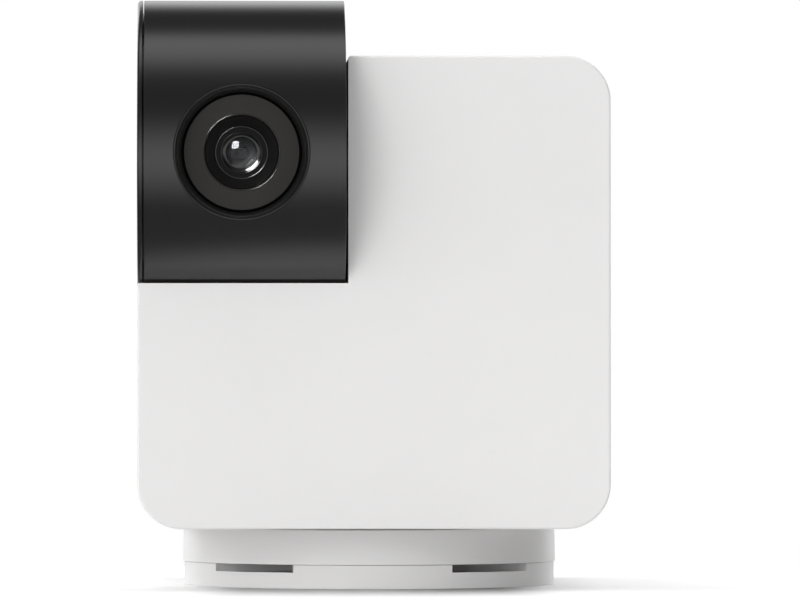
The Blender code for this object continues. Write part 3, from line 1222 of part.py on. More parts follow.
def make_speaker(black):
    """A round speaker: a wide frame behind the sound holes and a narrower magnet."""
    front = COVER_INNER_PLANE - SEAT_GAP
    magnet_end = front - SPEAKER_DEPTH
    frame_end = front - SPEAKER_FRAME_THICKNESS
    profile = [(0, magnet_end), (SPEAKER_MAGNET_RADIUS, magnet_end), (SPEAKER_MAGNET_RADIUS, frame_end)]
    profile += [(SPEAKER_RADIUS, frame_end), (SPEAKER_RADIUS, front), (0, front)]
    return solid("speaker", turned(profile), black, (0, 0, SPEAKER_LEVEL), BACKWARD)


def make_microphone(steel):
    end = COVER_INNER_PLANE - SEAT_GAP
    start = end - MICROPHONE_DEPTH
    profile = [(0, start), (MICROPHONE_RADIUS, start), (MICROPHONE_RADIUS, end), (0, end)]
    return solid("microphone", turned(profile, RIM_STEPS), steel, microphone_place(), BACKWARD)


def make_power_socket(steel):
    """A small power inlet: a flattened metal mouth with a tongue inside."""
    start = BOARD_BACK_PLANE + SEAT_GAP
    end = BACK_PLANE - SEAT_GAP
    centre = (0, 0, SOCKET_LEVEL)
    mouth = prism(stadium(SOCKET_WIDTH, SOCKET_HEIGHT), start, end)
    socket = solid("power_socket", mouth, steel, centre, BACKWARD)
    inner = stadium(SOCKET_WIDTH - 2 * SOCKET_WALL, SOCKET_HEIGHT - 2 * SOCKET_WALL)
    room = prism(inner, end - SOCKET_ROOM_DEPTH, end + CUT_OVERRUN)
    room = solid("socket_room", room, None, centre, BACKWARD)
    tongue_start = end - SOCKET_ROOM_DEPTH - UNION_SINK
    tongue = block(SOCKET_TONGUE_WIDTH, SOCKET_TONGUE_THICKNESS, tongue_start, end - 2 * SOCKET_WALL)
    cut(room, solid("socket_tongue", tongue, None, centre, BACKWARD))
    return cut(socket, room)


def make_button(grey):
    """The reset button: a cap in the cover's hole, a flange behind the wall and a stem towards the switch."""
    cap_end = BACK_PLANE - BUTTON_RECESS
    flange_end = COVER_INNER_PLANE - SEAT_GAP
    flange_start = flange_end - BUTTON_FLANGE_THICKNESS
    stem = SWITCH_PLUNGER_RADIUS
    pivot = axis_empty("reset_button_axis", button_place())
    flange = BUTTON_RADIUS + BUTTON_FLANGE
    profile = [(0, flange_start - BUTTON_STEM_LENGTH), (stem, flange_start - BUTTON_STEM_LENGTH)]
    profile += [(stem, flange_start), (flange, flange_start)]
    profile += [(flange, flange_end), (BUTTON_RADIUS, flange_end)]
    profile += quarter_round(BUTTON_RADIUS, cap_end, SEAM_GAP, 1, 1, 2) + [(0, cap_end)]
    button = turned(profile, RIM_STEPS)
    return solid("reset_button", button, grey, (0, 0, 0), BACKWARD, carrier=pivot)


def make_switch(black):
    """The switch on the board, whose plunger ends one travel short of the button's stem."""
    start = BOARD_BACK_PLANE + SEAT_GAP
    stem_end = COVER_INNER_PLANE - SEAT_GAP - BUTTON_FLANGE_THICKNESS - BUTTON_STEM_LENGTH
    plunger_end = stem_end - BUTTON_TRAVEL - SEAT_GAP
    body_end = plunger_end - SWITCH_PLUNGER_HEIGHT
    body = block(SWITCH_SIDE, SWITCH_SIDE, start, body_end)
    switch = solid("reset_switch", body, black, button_place(), BACKWARD)
    plunger = cylinder(SWITCH_PLUNGER_RADIUS, body_end - UNION_SINK, plunger_end)
    return fuse(switch, solid("switch_plunger", plunger, None, button_place(), BACKWARD))


def make_antenna(green):
    """A thin aerial board that stands against the head's right wall."""
    outside = HEAD_WIDTH / 2 - HEAD_WALL - SEAT_GAP
    place = (0, 0, HEAD_FLOOR + ANTENNA_RISE)
    outline = block(ANTENNA_HEIGHT, ANTENNA_LENGTH, outside - ANTENNA_THICKNESS, outside)
    return solid("antenna", outline, green, place, RIGHT)


def make_electronics(green, steel, black, grey):
    make_main_board(green, steel)
    make_speaker(black)
    make_microphone(steel)
    make_power_socket(steel)
    make_button(grey)
    make_switch(black)
    make_antenna(green)


def make_pet_camera():
    clear_scene()
    white = finish_material("white_shell", (0.80, 0.79, 0.79), 0.42)
    black = finish_material("gloss_black", (0.008, 0.008, 0.008), 0.14)
    grey = finish_material("matte_grey", (0.035, 0.032, 0.030), 0.62)
    glass = finish_material("coated_glass", (0.02, 0.02, 0.03), 0.03)
    rubber = finish_material("black_rubber", (0.03, 0.03, 0.03), 0.85)
    nylon = finish_material("nylon", (0.78, 0.76, 0.70), 0.45)
    steel = finish_material("steel", (0.56, 0.56, 0.57), 0.30, 1.0)
    bronze = finish_material("bronze", (0.50, 0.34, 0.17), 0.35, 1.0)
    green = finish_material("circuit_board", (0.02, 0.10, 0.05), 0.40)
    make_base(white, rubber, nylon, steel)
    make_front_housing(white)
    make_rear_cover(white)
    make_pan_drive(bronze, steel, nylon)
    make_tilt_drive(bronze, steel, nylon)
    make_drum(black, grey, glass, green, nylon, steel)
    make_electronics(green, steel, black, grey)


make_pet_camera()
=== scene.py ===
"""Looks of a small pan and tilt pet camera: a white head on a round base, with a gloss black lens drum.

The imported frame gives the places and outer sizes. Each operator makes one piece, or a group of like pieces,
over the frame's node that it stands for, and the rest of the nodes get the finish that their slot names.
"""

import json
import math

import bmesh
import bpy
from bpy.props import FloatProperty, FloatVectorProperty, IntProperty, PointerProperty
from mathutils import Matrix, Vector


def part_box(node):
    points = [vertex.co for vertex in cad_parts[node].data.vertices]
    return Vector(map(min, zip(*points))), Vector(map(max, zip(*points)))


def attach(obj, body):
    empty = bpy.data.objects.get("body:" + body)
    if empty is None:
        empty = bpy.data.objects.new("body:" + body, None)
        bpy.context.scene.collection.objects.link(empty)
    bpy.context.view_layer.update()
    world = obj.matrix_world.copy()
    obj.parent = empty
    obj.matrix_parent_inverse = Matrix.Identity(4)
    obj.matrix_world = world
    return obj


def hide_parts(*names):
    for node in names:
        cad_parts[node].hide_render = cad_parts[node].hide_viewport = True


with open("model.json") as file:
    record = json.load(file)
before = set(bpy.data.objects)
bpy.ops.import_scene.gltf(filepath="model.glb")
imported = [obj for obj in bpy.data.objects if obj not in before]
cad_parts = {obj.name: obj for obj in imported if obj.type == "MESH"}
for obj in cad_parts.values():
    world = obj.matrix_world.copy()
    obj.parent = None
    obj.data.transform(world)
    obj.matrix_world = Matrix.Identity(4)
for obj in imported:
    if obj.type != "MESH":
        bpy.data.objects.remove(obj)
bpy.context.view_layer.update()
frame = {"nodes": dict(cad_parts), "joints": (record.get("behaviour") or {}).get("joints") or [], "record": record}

bl_info = {
    "name": "Pet Camera Looks",
    "version": (1, 0, 0),
    "blender": (4, 5, 0),
    "location": "View3D > Sidebar > Pet Camera",
    "description": "Fine surfaces, finishes and a soft studio for a pan and tilt pet camera",
    "category": "Object",
}


# Places that the frame gives


def joint_place(name):
    """A point on a joint's axis, in world metres."""
    return Vector(next(joint["pos_m"] for joint in frame["joints"] if joint["name"] == name))


DRUM_PLACE = joint_place("tilt")
HEAD_LOW, HEAD_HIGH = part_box("front_housing")
COVER_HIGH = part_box("rear_cover")[1]
SLEEVE_LOW, SLEEVE_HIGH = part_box("drum_sleeve")
CAP_LOW, CAP_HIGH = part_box("drum_end_cap")
COLLAR_LOW, COLLAR_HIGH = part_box("base_housing")
RING_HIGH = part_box("base_cover")[1]
PAD_LOW, PAD_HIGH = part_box("foot_pad")

HEAD_WIDTH = HEAD_HIGH.x - HEAD_LOW.x
HEAD_HEIGHT = HEAD_HIGH.z - HEAD_LOW.z
HEAD_CENTRE = Vector((0, 0, (HEAD_LOW.z + HEAD_HIGH.z) / 2))
DRUM_RADIUS = (SLEEVE_HIGH.z - SLEEVE_LOW.z) / 2
# The point of the drum's axis in the middle of the head's width
DRUM_LINE = (0, DRUM_PLACE.y, DRUM_PLACE.z)


def middle_of(node):
    low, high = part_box(node)
    return (low + high) / 2


def level_with(node):
    """The middle of a node with its depth set to zero, where the shapes that face backward start."""
    middle = middle_of(node)
    return (middle.x, 0, middle.z)


# Directions that a turned or extruded piece's own +Z can take
UP = Matrix.Identity(4)
RIGHT = Matrix.Rotation(math.pi / 2, 4, "Y")
LEFT = Matrix.Rotation(-math.pi / 2, 4, "Y")
FORWARD = Matrix.Rotation(math.pi / 2, 4, "X")
BACKWARD = Matrix.Rotation(-math.pi / 2, 4, "X")


# Settings


def number(label, description, default, **kind):
    return FloatProperty(name=label, description=description, default=default, **kind)


def length(label, description, default):
    return number(label, description, default, precision=5, unit="LENGTH")


def angle(label, description, degrees):
    return number(label, description, math.radians(degrees), subtype="ANGLE")


def factor(label, description, default):
    return number(label, description, default, min=0.0, max=1.0, subtype="FACTOR")


def amount(label, description, default):
    return number(label, description, default, min=0.0)


def count(label, description, default):
    return IntProperty(name=label, description=description, default=default, min=0)


def vector(label, description, default, **kind):
    return FloatVectorProperty(name=label, description=description, default=default, **kind)


def tint(label, description, default):
    return vector(label, description, default, min=0.0, max=1.0, subtype="COLOR")


def point(label, description, default):
    return vector(label, description, default, subtype="XYZ")


class ShellSettings(bpy.types.PropertyGroup):
    wall: length("Wall", "Thickness of the head's moulded walls", 0.0020)
    corner: length("Corner radius", "Radius of the head's four corners, seen from the front", 0.0071)
    front_round: length("Front round", "Round of the edge about the front face", 0.0004)
    rear_round: length("Rear round", "Round of the edge about the back face", 0.0012)
    cradle_wall: length("Cradle wall", "Thickness of the cradle round the drum", 0.0020)
    drum_gap: length("Drum gap", "Running gap between the drum and its cradle", 0.0004)
    notch_round: length("Notch round", "Round where the notch's side meets the roof", 0.0005)
    edge: length("Edge", "Break of the small moulded edges", 0.00012)
    lip_wall: length("Lip wall", "Thickness of the rear cover's lip", 0.0015)
    plate: length("Plate", "Thickness of the rear cover's plate", 0.0020)
    seat: length("Seat", "Gap between pieces that seat on each other", 0.0003)
    boss_radius: length("Boss radius", "Radius of the screw bosses", 0.0022)
    bore_radius: length("Bore radius", "Radius of the bores in the screw bosses", 0.0009)
    bore_depth: length("Bore depth", "Depth of the bores in the screw bosses", 0.0044)
    ear_spacing: length("Ear spacing", "Distance between a motor's two screws", 0.0270)
    tilt_turn: angle("Tilt motor's turn", "Direction from the drum's axis to the tilt motor", 45)
    tilt_flange: length("Tilt bush flange", "Reach of the tilt bush's flange", 0.0018)
    pan_flange: length("Pan bush flange", "Reach of the pan bush's flange", 0.0023)
    hook_length: length("Hook length", "Length of a snap hook", 0.0080)
    hook_reach: length("Hook reach", "How far a snap hook enters its pocket", 0.0005)
    hook_thickness: length("Hook thickness", "Thickness of a snap hook", 0.0016)
    hook_setback: length("Hook setback", "Distance of a snap hook from the shell's end", 0.0011)
    hook_spacing: length("Hook spacing", "Distance between the snap hooks on one side", 0.0400)
    gusset_wall: length("Gusset wall", "Thickness of a gusset", 0.0012)
    gusset_drop: length("Gusset drop", "How far a gusset runs down the front wall", 0.0090)
    gusset_spacing: length("Gusset spacing", "Distance between the gussets", 0.0180)
    lip_depth: length("Lip depth", "Depth of the rear cover's lip", 0.0030)
    colour: tint("White", "Colour of the white moulding", (0.80, 0.792, 0.790))
    roughness: factor("Roughness", "Roughness of the white moulding", 0.40)


class DrumSettings(bpy.types.PropertyGroup):
    wall: length("Wall", "Thickness of the drum's tube", 0.0018)
    cap_thickness: length("Cap thickness", "Thickness of the end cap's rim", 0.0008)
    cap_round: length("Cap round", "Round of the end cap's edge", 0.0006)
    seam: length("Seam", "Gap between the end cap and the tube", 0.0002)
    tube_edge: length("Tube edge", "Round of the tube's ends", 0.0002)
    spigot_gap: length("Spigot gap", "Gap between the spigot and the tube's bore", 0.0003)
    dish_inset: length("Dish inset", "Width of the flat rim about the end cap's dish", 0.0040)
    dish_depth: length("Dish depth", "Depth of the end cap's dish", 0.0001)
    spigot_wall: length("Spigot wall", "Thickness of the end cap's spigot", 0.0012)
    hole_radius: length("Lens hole", "Radius of the hole for the lens bezel", 0.0108)
    hole_gap: length("Hole gap", "Gap between the lens hole and the bezel", 0.00004)
    hole_round: length("Hole round", "Round of the lens hole's edge", 0.00012)
    colour: tint("Black", "Colour of the gloss black moulding", (0.0072, 0.0070, 0.0069))
    roughness: factor("Roughness", "Roughness of the gloss black moulding", 0.105)


class LensSettings(bpy.types.PropertyGroup):
    gap: length("Gap", "Gap between pieces that seat on each other", 0.0003)
    thread_pitch: length("Thread pitch", "Pitch of the barrel's thread", 0.0005)
    bezel_front: length("Bezel front", "Distance of the bezel's front from the drum's axis", 0.0222)
    bezel_rim: length("Bezel rim", "Width of the bezel's wall", 0.00126)
    bezel_line: length("Bezel line", "Width of each of the bezel's two edges", 0.00018)
    bezel_fall: length("Bezel fall", "How far the bezel's second edge falls outwards", 0.00012)
    bezel_step: length("Bezel step", "Distance from the bezel's outer edge to its second edge", 0.00048)
    bezel_groove: length("Bezel groove", "Depth of the groove between the bezel's two edges", 0.00025)
    bezel_slope: length("Bezel slope", "Depth of the conical wall inside the bezel's rim", 0.0012)
    bezel_edge: length("Bezel edge", "Round of the bezel's edges", 0.00006)
    bezel_depth: length("Bezel depth", "Depth of the bezel", 0.0049)
    bezel_ledge: length("Bezel ledge", "Width of the ledge under the mask", 0.0011)
    bezel_gutter: length("Bezel gutter", "Depth of the gutter in the ledge, round the mask", 0.0007)
    bezel_flange: length("Bezel flange", "Reach of the flange behind the drum's wall", 0.0015)
    flange_thickness: length("Flange thickness", "Thickness of the bezel's flange", 0.0018)
    mask_front: length("Mask front", "Distance of the mask's face from the drum's axis", 0.0212)
    mask_thickness: length("Mask thickness", "Thickness of the mask", 0.0010)
    mask_gap: length("Mask gap", "Gap round the mask", 0.00042)
    aperture: length("Aperture", "Radius of the opening in the mask", 0.00585)
    aperture_edge: length("Aperture edge", "Chamfer of the opening in the mask", 0.0002)
    aperture_bead: length("Aperture bead", "Radius of the bead round the opening in the mask", 0.00004)
    barrel_radius: length("Barrel radius", "Radius of the barrel's threaded part", 0.0059)
    neck_radius: length("Neck radius", "Radius of the barrel's neck", 0.00576)
    barrel_rear: length("Barrel rear", "Distance of the barrel's rear end from the axis", 0.0060)
    barrel_shoulder: length("Shoulder", "Distance of the barrel's shoulder from the axis", 0.0140)
    barrel_front: length("Barrel front", "Distance of the barrel's mouth from the axis", 0.0206)
    barrel_bore: length("Barrel bore", "Radius of the barrel's bore", 0.0033)
    seat_radius: length("Seat radius", "Radius of the front element's seat", 0.00445)
    funnel: length("Funnel", "Radius of the foot of the cone in the barrel's mouth", 0.0042)
    lip_radius: length("Lip radius", "Inner radius of the polished lip round the front element", 0.00252)
    lip_drop: length("Lip drop", "How far the polished lip falls towards its inner edge", 0.0003)
    bead: length("Bead", "Radius of the beads on the ring that holds the front element", 0.00008)
    seat_place: length("Seat place", "Distance of the front element's seat from the axis", 0.0177)
    element_edge: length("Element edge", "Edge thickness of the front element", 0.0005)
    dome_radius: length("Dome radius", "Radius of the front element's dome", 0.00285)
    dome_height: length("Dome height", "Height of the front element's dome", 0.0013)
    retainer_thickness: length("Retainer", "Thickness of the ring that holds the front element", 0.0006)
    iris_radius: length("Iris radius", "Radius of the hole in the iris plate", 0.00060)
    iris_place: length("Iris place", "Distance of the iris plate from the axis", 0.0165)
    iris_thickness: length("Iris thickness", "Thickness of the iris plate", 0.0003)
    rear_place: length("Rear element place", "Distance of the rear element from the axis", 0.0130)
    rear_edge: length("Rear element edge", "Edge thickness of the rear element", 0.0010)
    rear_bulge: length("Rear element bulge", "Bulge of the rear element's faces", 0.0007)
    mask_colour: tint("Mask", "Colour of the matte mask", (0.0320, 0.0306, 0.0292))
    barrel_colour: tint("Barrel", "Colour of the satin black barrel", (0.004, 0.004, 0.004))


class BaseSettings(bpy.types.PropertyGroup):
    gap: length("Gap", "Gap between pieces that seat on each other", 0.0003)
    pan_gap: length("Pan gap", "Running gap between the collar and the head", 0.0003)
    seam_gap: length("Seam gap", "Visible gap between the collar and the lower ring", 0.00005)
    boss_radius: length("Boss radius", "Radius of the base's screw bosses", 0.0029)
    boss_bottom: length("Boss bottom", "Height of the lower end of the screw bosses", 0.0042)
    shank_radius: length("Shank hole", "Radius of the holes for the base's screws", 0.0013)
    sink_radius: length("Sink radius", "Radius of the sinks for the screws' heads", 0.0021)
    head_room: length("Head room", "Depth of the sinks for the screws' heads", 0.0011)
    key_width: length("Key width", "Width of the spindle's key", 0.0020)
    key_height: length("Key height", "Height of the spindle's key", 0.0011)
    collar_wall: length("Collar wall", "Thickness of the collar", 0.0024)
    collar_flare: length("Collar flare", "How much wider the collar is below", 0.0001)
    ring_wall: length("Ring wall", "Thickness of the lower ring", 0.0026)
    ring_floor: length("Ring floor", "Thickness of the lower ring's floor", 0.0011)
    seam_edge: length("Seam edge", "Round of the edges at the seam", 0.0001)
    slot_floor: length("Slot floor", "Height of the floor of the lower ring's slots", 0.00255)
    slot_inner: length("Slot inner end", "Distance of a slot's inner end from the middle", 0.0127)
    slot_outer: length("Slot outer end", "Distance of a slot's outer end from the middle", 0.0250)
    slot_ramp: length("Slot ramp", "Width and depth of the ramp at a slot's outer end", 0.0015)
    slot_wall: length("Slot wall", "Thickness of the wall behind the slots", 0.0010)
    deck: length("Deck", "Thickness of the deck under the head", 0.0023)
    spindle_radius: length("Spindle radius", "Radius of the hollow spindle", 0.0090)
    neck_radius: length("Neck radius", "Radius of the spindle's neck in the gear", 0.0075)
    bore_radius: length("Bore radius", "Radius of the spindle's bore", 0.0045)
    groove_width: length("Groove width", "Width of the slide ring's groove", 0.0036)
    pad_edge: length("Pad edge", "Round of the foot pad's edge", 0.0002)
    tread_pitch: length("Tread pitch", "Distance between the grooves under the foot pad", 0.0030)
    tread_depth: length("Tread depth", "Depth of the grooves under the foot pad", 0.0003)
    treads: count("Treads", "Number of grooves under the foot pad", 6)


class FittingSettings(bpy.types.PropertyGroup):
    hole_radius: length("Sound hole", "Radius of one sound hole", 0.0008)
    ring_pitch: length("Ring pitch", "Distance between the rings of sound holes", 0.0034)
    rings: count("Rings", "Rings of sound holes round the middle one", 2)
    speaker_radius: length("Speaker radius", "Radius of the speaker's frame", 0.0140)
    rib_wall: length("Rib wall", "Thickness of the speaker's rib", 0.0012)
    rib_depth: length("Rib depth", "Depth of the speaker's rib", 0.0030)
    microphone_hole: length("Microphone hole", "Radius of the microphone's hole", 0.0006)
    socket_wall: length("Socket wall", "Thickness of the power inlet's metal mouth", 0.0004)
    socket_depth: length("Socket depth", "Depth of the room in the power inlet", 0.0060)
    tongue_width: length("Tongue width", "Width of the power inlet's tongue", 0.0062)
    tongue_thickness: length("Tongue thickness", "Thickness of the power inlet's tongue", 0.0007)
    button_radius: length("Button radius", "Radius of the reset button's cap", 0.0022)
    button_dish: length("Button dish", "Depth of the dish in the reset button's cap", 0.00015)
    flange_thickness: length("Flange thickness", "Thickness of the reset button's flange", 0.0008)
    flange_radius: length("Flange radius", "Radius of the reset button's flange", 0.0031)
    guide_wall: length("Guide wall", "Thickness of the button's and the microphone's guides", 0.0008)
    guide_depth: length("Guide depth", "Depth of the button's and the microphone's guides", 0.0022)
    board_inset: length("Board inset", "Distance of the main board's screws from its edges", 0.0045)
    stem_radius: length("Stem radius", "Radius of the reset button's stem", 0.0015)


class StudioSettings(bpy.types.PropertyGroup):
    lens: number("Lens", "Focal length of the camera", 350.0, unit="CAMERA")
    camera_place: point("Camera", "Where the camera stands", (-0.0276, -1.2685, 0.0370))
    camera_aim: point("Aim", "The point that the camera looks at", (0.00408, -0.0375, 0.0460))
    floor_radius: length("Floor radius", "Radius of the floor", 0.115)
    floor_colour: tint("Floor", "Colour of the floor", (0.86, 0.86, 0.86))
    floor_lift: amount("Floor lift", "Light that brings the open floor up to the backdrop", 0.18)
    mirror_lift: amount("Mirror lift", "Light that the floor by the base gives to the gloss above it", 0.72)
    lamp_place: point("Lamp", "Where the lamp that the lens mirrors stands", (-0.32, -0.46, 0.46))
    lamp_size: length("Lamp size", "Diameter of the lamp that the lens mirrors", 0.40)
    lamp_power: amount("Lamp power", "Power of the lamp that the lens mirrors", 46.0)


# Meshes

# Steps round a circle
BEAD_STEPS = 16
BORE_STEPS = 32
BOSS_STEPS = 48
PILLAR_STEPS = 64
HOLE_STEPS = 96
LENS_STEPS = 192
SHELL_STEPS = 256

# A corner of a profile that bends by less belongs to a curve, and isn't eased
STRAIGHT = math.radians(14)
# An edge of a mesh that bends by more stays sharp
SHARP = math.radians(30)
# The share of a short side that a corner's round can take
MOST_EASING = 0.45
SAME_POINT = 1e-7
# How near a corner lies to a round that it belongs to, as a share of the radius
ON_ROUND = 1 / 20000


def circle(radius, steps):
    angles = [2 * math.pi * step / steps for step in range(steps)]
    return [(radius * math.cos(tip), radius * math.sin(tip)) for tip in angles]


def quarter(steps):
    """The steps of a quarter round, as shares of its radius in from the side and down from the end."""
    angles = [math.pi / 2 * step / steps for step in range(steps + 1)]
    return [(1 - math.cos(tip), 1 - math.sin(tip)) for tip in angles]


def rounded_rectangle(width, height, radius, steps=24):
    """The outline of a rectangle with round corners, centred on zero, anticlockwise."""
    points = []
    for corner, (across, along) in enumerate(((1, 1), (-1, 1), (-1, -1), (1, -1))):
        centre = Vector((across * (width / 2 - radius), along * (height / 2 - radius)))
        for step in range(steps + 1):
            tip = math.pi / 2 * (corner + step / steps)
            points.append(tuple(centre + radius * Vector((math.cos(tip), math.sin(tip)))))
    return points


def stadium(width, height):
    return rounded_rectangle(width, height, height / 2, 12)


def dome(radius, rise, base, steps):
    """Points of a spherical cap's section, from its edge to its crown on the axis."""
    sphere = (radius * radius + rise * rise) / (2 * rise)
    full = math.asin(radius / sphere)
    angles = [full * (1 - step / steps) for step in range(steps)]
    points = [(sphere * math.sin(tip), base + sphere * math.cos(tip) - (sphere - rise)) for tip in angles]
    return points + [(0, base + rise)]


def lofted(sections):
    """A closed solid through outlines with the same count of points: pairs of an outline and its height."""
    bm = bmesh.new()
    rings = [[bm.verts.new((x, y, height)) for x, y in outline] for outline, height in sections]
    for lower, upper in zip(rings, rings[1:]):
        for index, corner in enumerate(lower):
            following = (index + 1) % len(lower)
            bm.faces.new((corner, lower[following], upper[following], upper[index]))
    bm.faces.new(rings[0][::-1])
    bm.faces.new(rings[-1])
    return bm


def prism(outline, start, end):
    return lofted([(outline, start), (outline, end)])


def cylinder(radius, start, end, steps=HOLE_STEPS):
    return prism(circle(radius, steps), start, end)


def block(width, height, start, end, centre=(0, 0)):
    corners = ((1, 1), (-1, 1), (-1, -1), (1, -1))
    return prism([(centre[0] + x * width / 2, centre[1] + y * height / 2) for x, y in corners], start, end)


def gathered(parts):
    """Several separate closed shapes in one mesh, to serve as one cutter."""
    whole = bmesh.new()
    for part in parts:
        mesh = bpy.data.meshes.new("gathered")
        part.to_mesh(mesh)
        part.free()
        whole.from_mesh(mesh)
        bpy.data.meshes.remove(mesh)
    return whole


def eased(profile, size, steps=4):
    """A turned profile with each sharp corner off the axis rounded. Stretches that are already round stay."""
    points = []
    for index, corner in enumerate(profile):
        here = Vector(corner)
        before = Vector(profile[index - 1]) - here
        after = Vector(profile[(index + 1) % len(profile)]) - here
        if here.x == 0 or math.pi - before.angle(after) < STRAIGHT:
            points.append(tuple(here))
            continue
        reach = min(size, before.length * MOST_EASING, after.length * MOST_EASING)
        start = here + before.normalized() * reach
        end = here + after.normalized() * reach
        for step in range(steps + 1):
            along = step / steps
            points.append(tuple(start * (1 - along) ** 2 + here * 2 * along * (1 - along) + end * along**2))
    return points


def turned(profile, steps):
    """A profile of (radius, height) pairs spun about Z. It closes on itself or on the axis."""
    bm = bmesh.new()
    points = [bm.verts.new((radius, 0, height)) for radius, height in profile]
    edges = [bm.edges.new(pair) for pair in zip(points, points[1:])]
    if profile[0][0] or profile[-1][0]:
        edges.append(bm.edges.new((points[-1], points[0])))
    whole = {"cent": (0, 0, 0), "axis": (0, 0, 1), "angle": 2 * math.pi, "steps": steps, "use_merge": True}
    bmesh.ops.spin(bm, geom=points + edges, **whole)
    return bm


def made(name, bm, place=(0, 0, 0), facing=UP):
    """An object at the world's origin, with the bmesh's own +Z along facing and its zero at a place."""
    bmesh.ops.remove_doubles(bm, verts=bm.verts, dist=SAME_POINT)
    bm.transform(Matrix.Translation(Vector(place)) @ facing)
    bmesh.ops.recalc_face_normals(bm, faces=bm.faces)
    mesh = bpy.data.meshes.new(name)
    bm.to_mesh(mesh)
    bm.free()
    obj = bpy.data.objects.new(name, mesh)
    bpy.context.scene.collection.objects.link(obj)
    return obj


def rod(name, radius, start, end, steps, offset, place=(0, 0, 0), facing=UP):
    """A cylinder that stands off from a place by an offset in its own X and Y."""
    bm = cylinder(radius, start, end, steps)
    bmesh.ops.translate(bm, verts=bm.verts, vec=(*offset, 0))
    return made(name, bm, place, facing)


def add_boolean(obj, tool, operation):
    modifier = obj.modifiers.new(tool.name, "BOOLEAN")
    modifier.operation = operation
    modifier.solver = "EXACT"
    modifier.object = tool


def cut(obj, tool):
    add_boolean(obj, tool, "DIFFERENCE")


def fuse(obj, tool):
    add_boolean(obj, tool, "UNION")


def settle(obj):
    """Gives an object its evaluated mesh, and removes its modifiers and the tools that they used."""
    tools = [modifier.object for modifier in obj.modifiers if modifier.type == "BOOLEAN"]
    bpy.context.view_layer.update()
    graph = bpy.context.evaluated_depsgraph_get()
    evaluated = obj.evaluated_get(graph)
    obj.data = bpy.data.meshes.new_from_object(evaluated, preserve_all_data_layers=True, depsgraph=graph)
    obj.modifiers.clear()
    for tool in tools:
        for modifier in tool.modifiers:
            bpy.data.objects.remove(modifier.object, do_unlink=True)
        bpy.data.objects.remove(tool, do_unlink=True)


def weight_normals(obj):
    """Gives the flat faces their own normals, up to the rounds beside them."""
    obj.modifiers.new("normals", "WEIGHTED_NORMAL").keep_sharp = True
    settle(obj)


def break_edges(obj, width, segments=3, limit=32):
    """Rounds the sharp edges that the cuts left."""
    modifier = obj.modifiers.new("edges", "BEVEL")
    modifier.width = width
    modifier.segments = segments
    modifier.limit_method = "ANGLE"
    modifier.angle_limit = math.radians(limit)
    modifier.use_clamp_overlap = True
    modifier.harden_normals = False
    obj.data.shade_smooth()
    weight_normals(obj)


def smooth_by_angle(obj, weighted=True):
    """Smooth shading with the sharp edges kept and, where weighted, with the flat faces' own normals."""
    obj.data.shade_smooth()
    obj.data.set_sharp_from_angle(angle=SHARP)
    if weighted:
        weight_normals(obj)


def smooth_round(obj, place, radius, along=0):
    """Gives the faces that lie on a cylinder its true normals, so that gloss runs over them evenly."""
    mesh = obj.data
    normals = [corner.vector.copy() for corner in mesh.corner_normals]
    arms = [vertex.co - Vector(place) for vertex in mesh.vertices]
    for arm in arms:
        arm[along] = 0
    close = radius * ON_ROUND
    for polygon in mesh.polygons:
        if all(abs(arms[index].length - radius) < close for index in polygon.vertices):
            for corner in polygon.loop_indices:
                outward = arms[mesh.loops[corner].vertex_index].normalized()
                normals[corner] = outward if outward.dot(polygon.normal) > 0 else -outward
    mesh.normals_split_custom_set(normals)


def dress(obj, finish, slot, body, *nodes):
    """Gives a piece its finish, its body and the nodes that it stands for."""
    obj.data.materials.clear()
    obj.data.materials.append(bpy.data.materials[finish])
    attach(obj, body)
    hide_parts(*nodes)


def turned_piece(name, profile, edge, steps, place, facing, finish, slot, body, *nodes):
    """A dressed piece with a turned shape and eased edges."""
    piece = made(name, turned(eased(profile, edge), steps), place, facing)
    smooth_by_angle(piece, slot != "lens_glass")
    dress(piece, finish, slot, body, *nodes)


# Shader node groups


def feed(tree, socket, value):
    """Links an input to another socket or gives it a value, and adds the alpha that a plain colour lacks."""
    if isinstance(value, bpy.types.NodeSocket):
        tree.links.new(value, socket)
    elif socket.type == "RGBA" and len(value) == 3:
        socket.default_value = (*value, 1.0)
    else:
        socket.default_value = value


def add_node(tree, kind, inputs=None, **settings):
    """The outputs of a new shader node, once it is set up and its inputs are fed."""
    node = tree.nodes.new("ShaderNode" + kind)
    for key, value in settings.items():
        setattr(node, key, value)
    for key, value in (inputs or {}).items():
        feed(tree, node.inputs[key], value)
    return node.outputs


def calculate(tree, operation, *values):
    return add_node(tree, "Math", dict(enumerate(values)), operation=operation)[0]


def product(tree, first, *others):
    for other in others:
        first = calculate(tree, "MULTIPLY", first, other)
    return first


def rest_of(tree, share):
    return calculate(tree, "SUBTRACT", 1.0, share)


def remap(tree, value, start, end, low=0.0, high=1.0):
    """A value's way from start to end, as a smooth way from low to high."""
    inputs = {"Value": value, "From Min": start, "From Max": end, "To Min": low, "To Max": high}
    return add_node(tree, "MapRange", inputs, interpolation_type="SMOOTHSTEP")["Result"]


def noise(tree, place, scale, detail, roughness=0.5):
    inputs = {"Vector": place, "Scale": scale, "Detail": detail, "Roughness": roughness}
    return add_node(tree, "TexNoise", inputs)["Fac"]


def mixed_colour(tree, share, first, second):
    """A mix of two colours by the share of the second."""
    return add_node(tree, "Mix", {0: share, 6: first, 7: second}, data_type="RGBA")[2]


# The kinds of the groups' sockets that don't hold a number
SOCKET_KINDS = {"Color": "Color", "Centre": "Vector", "Axis": "Vector"}


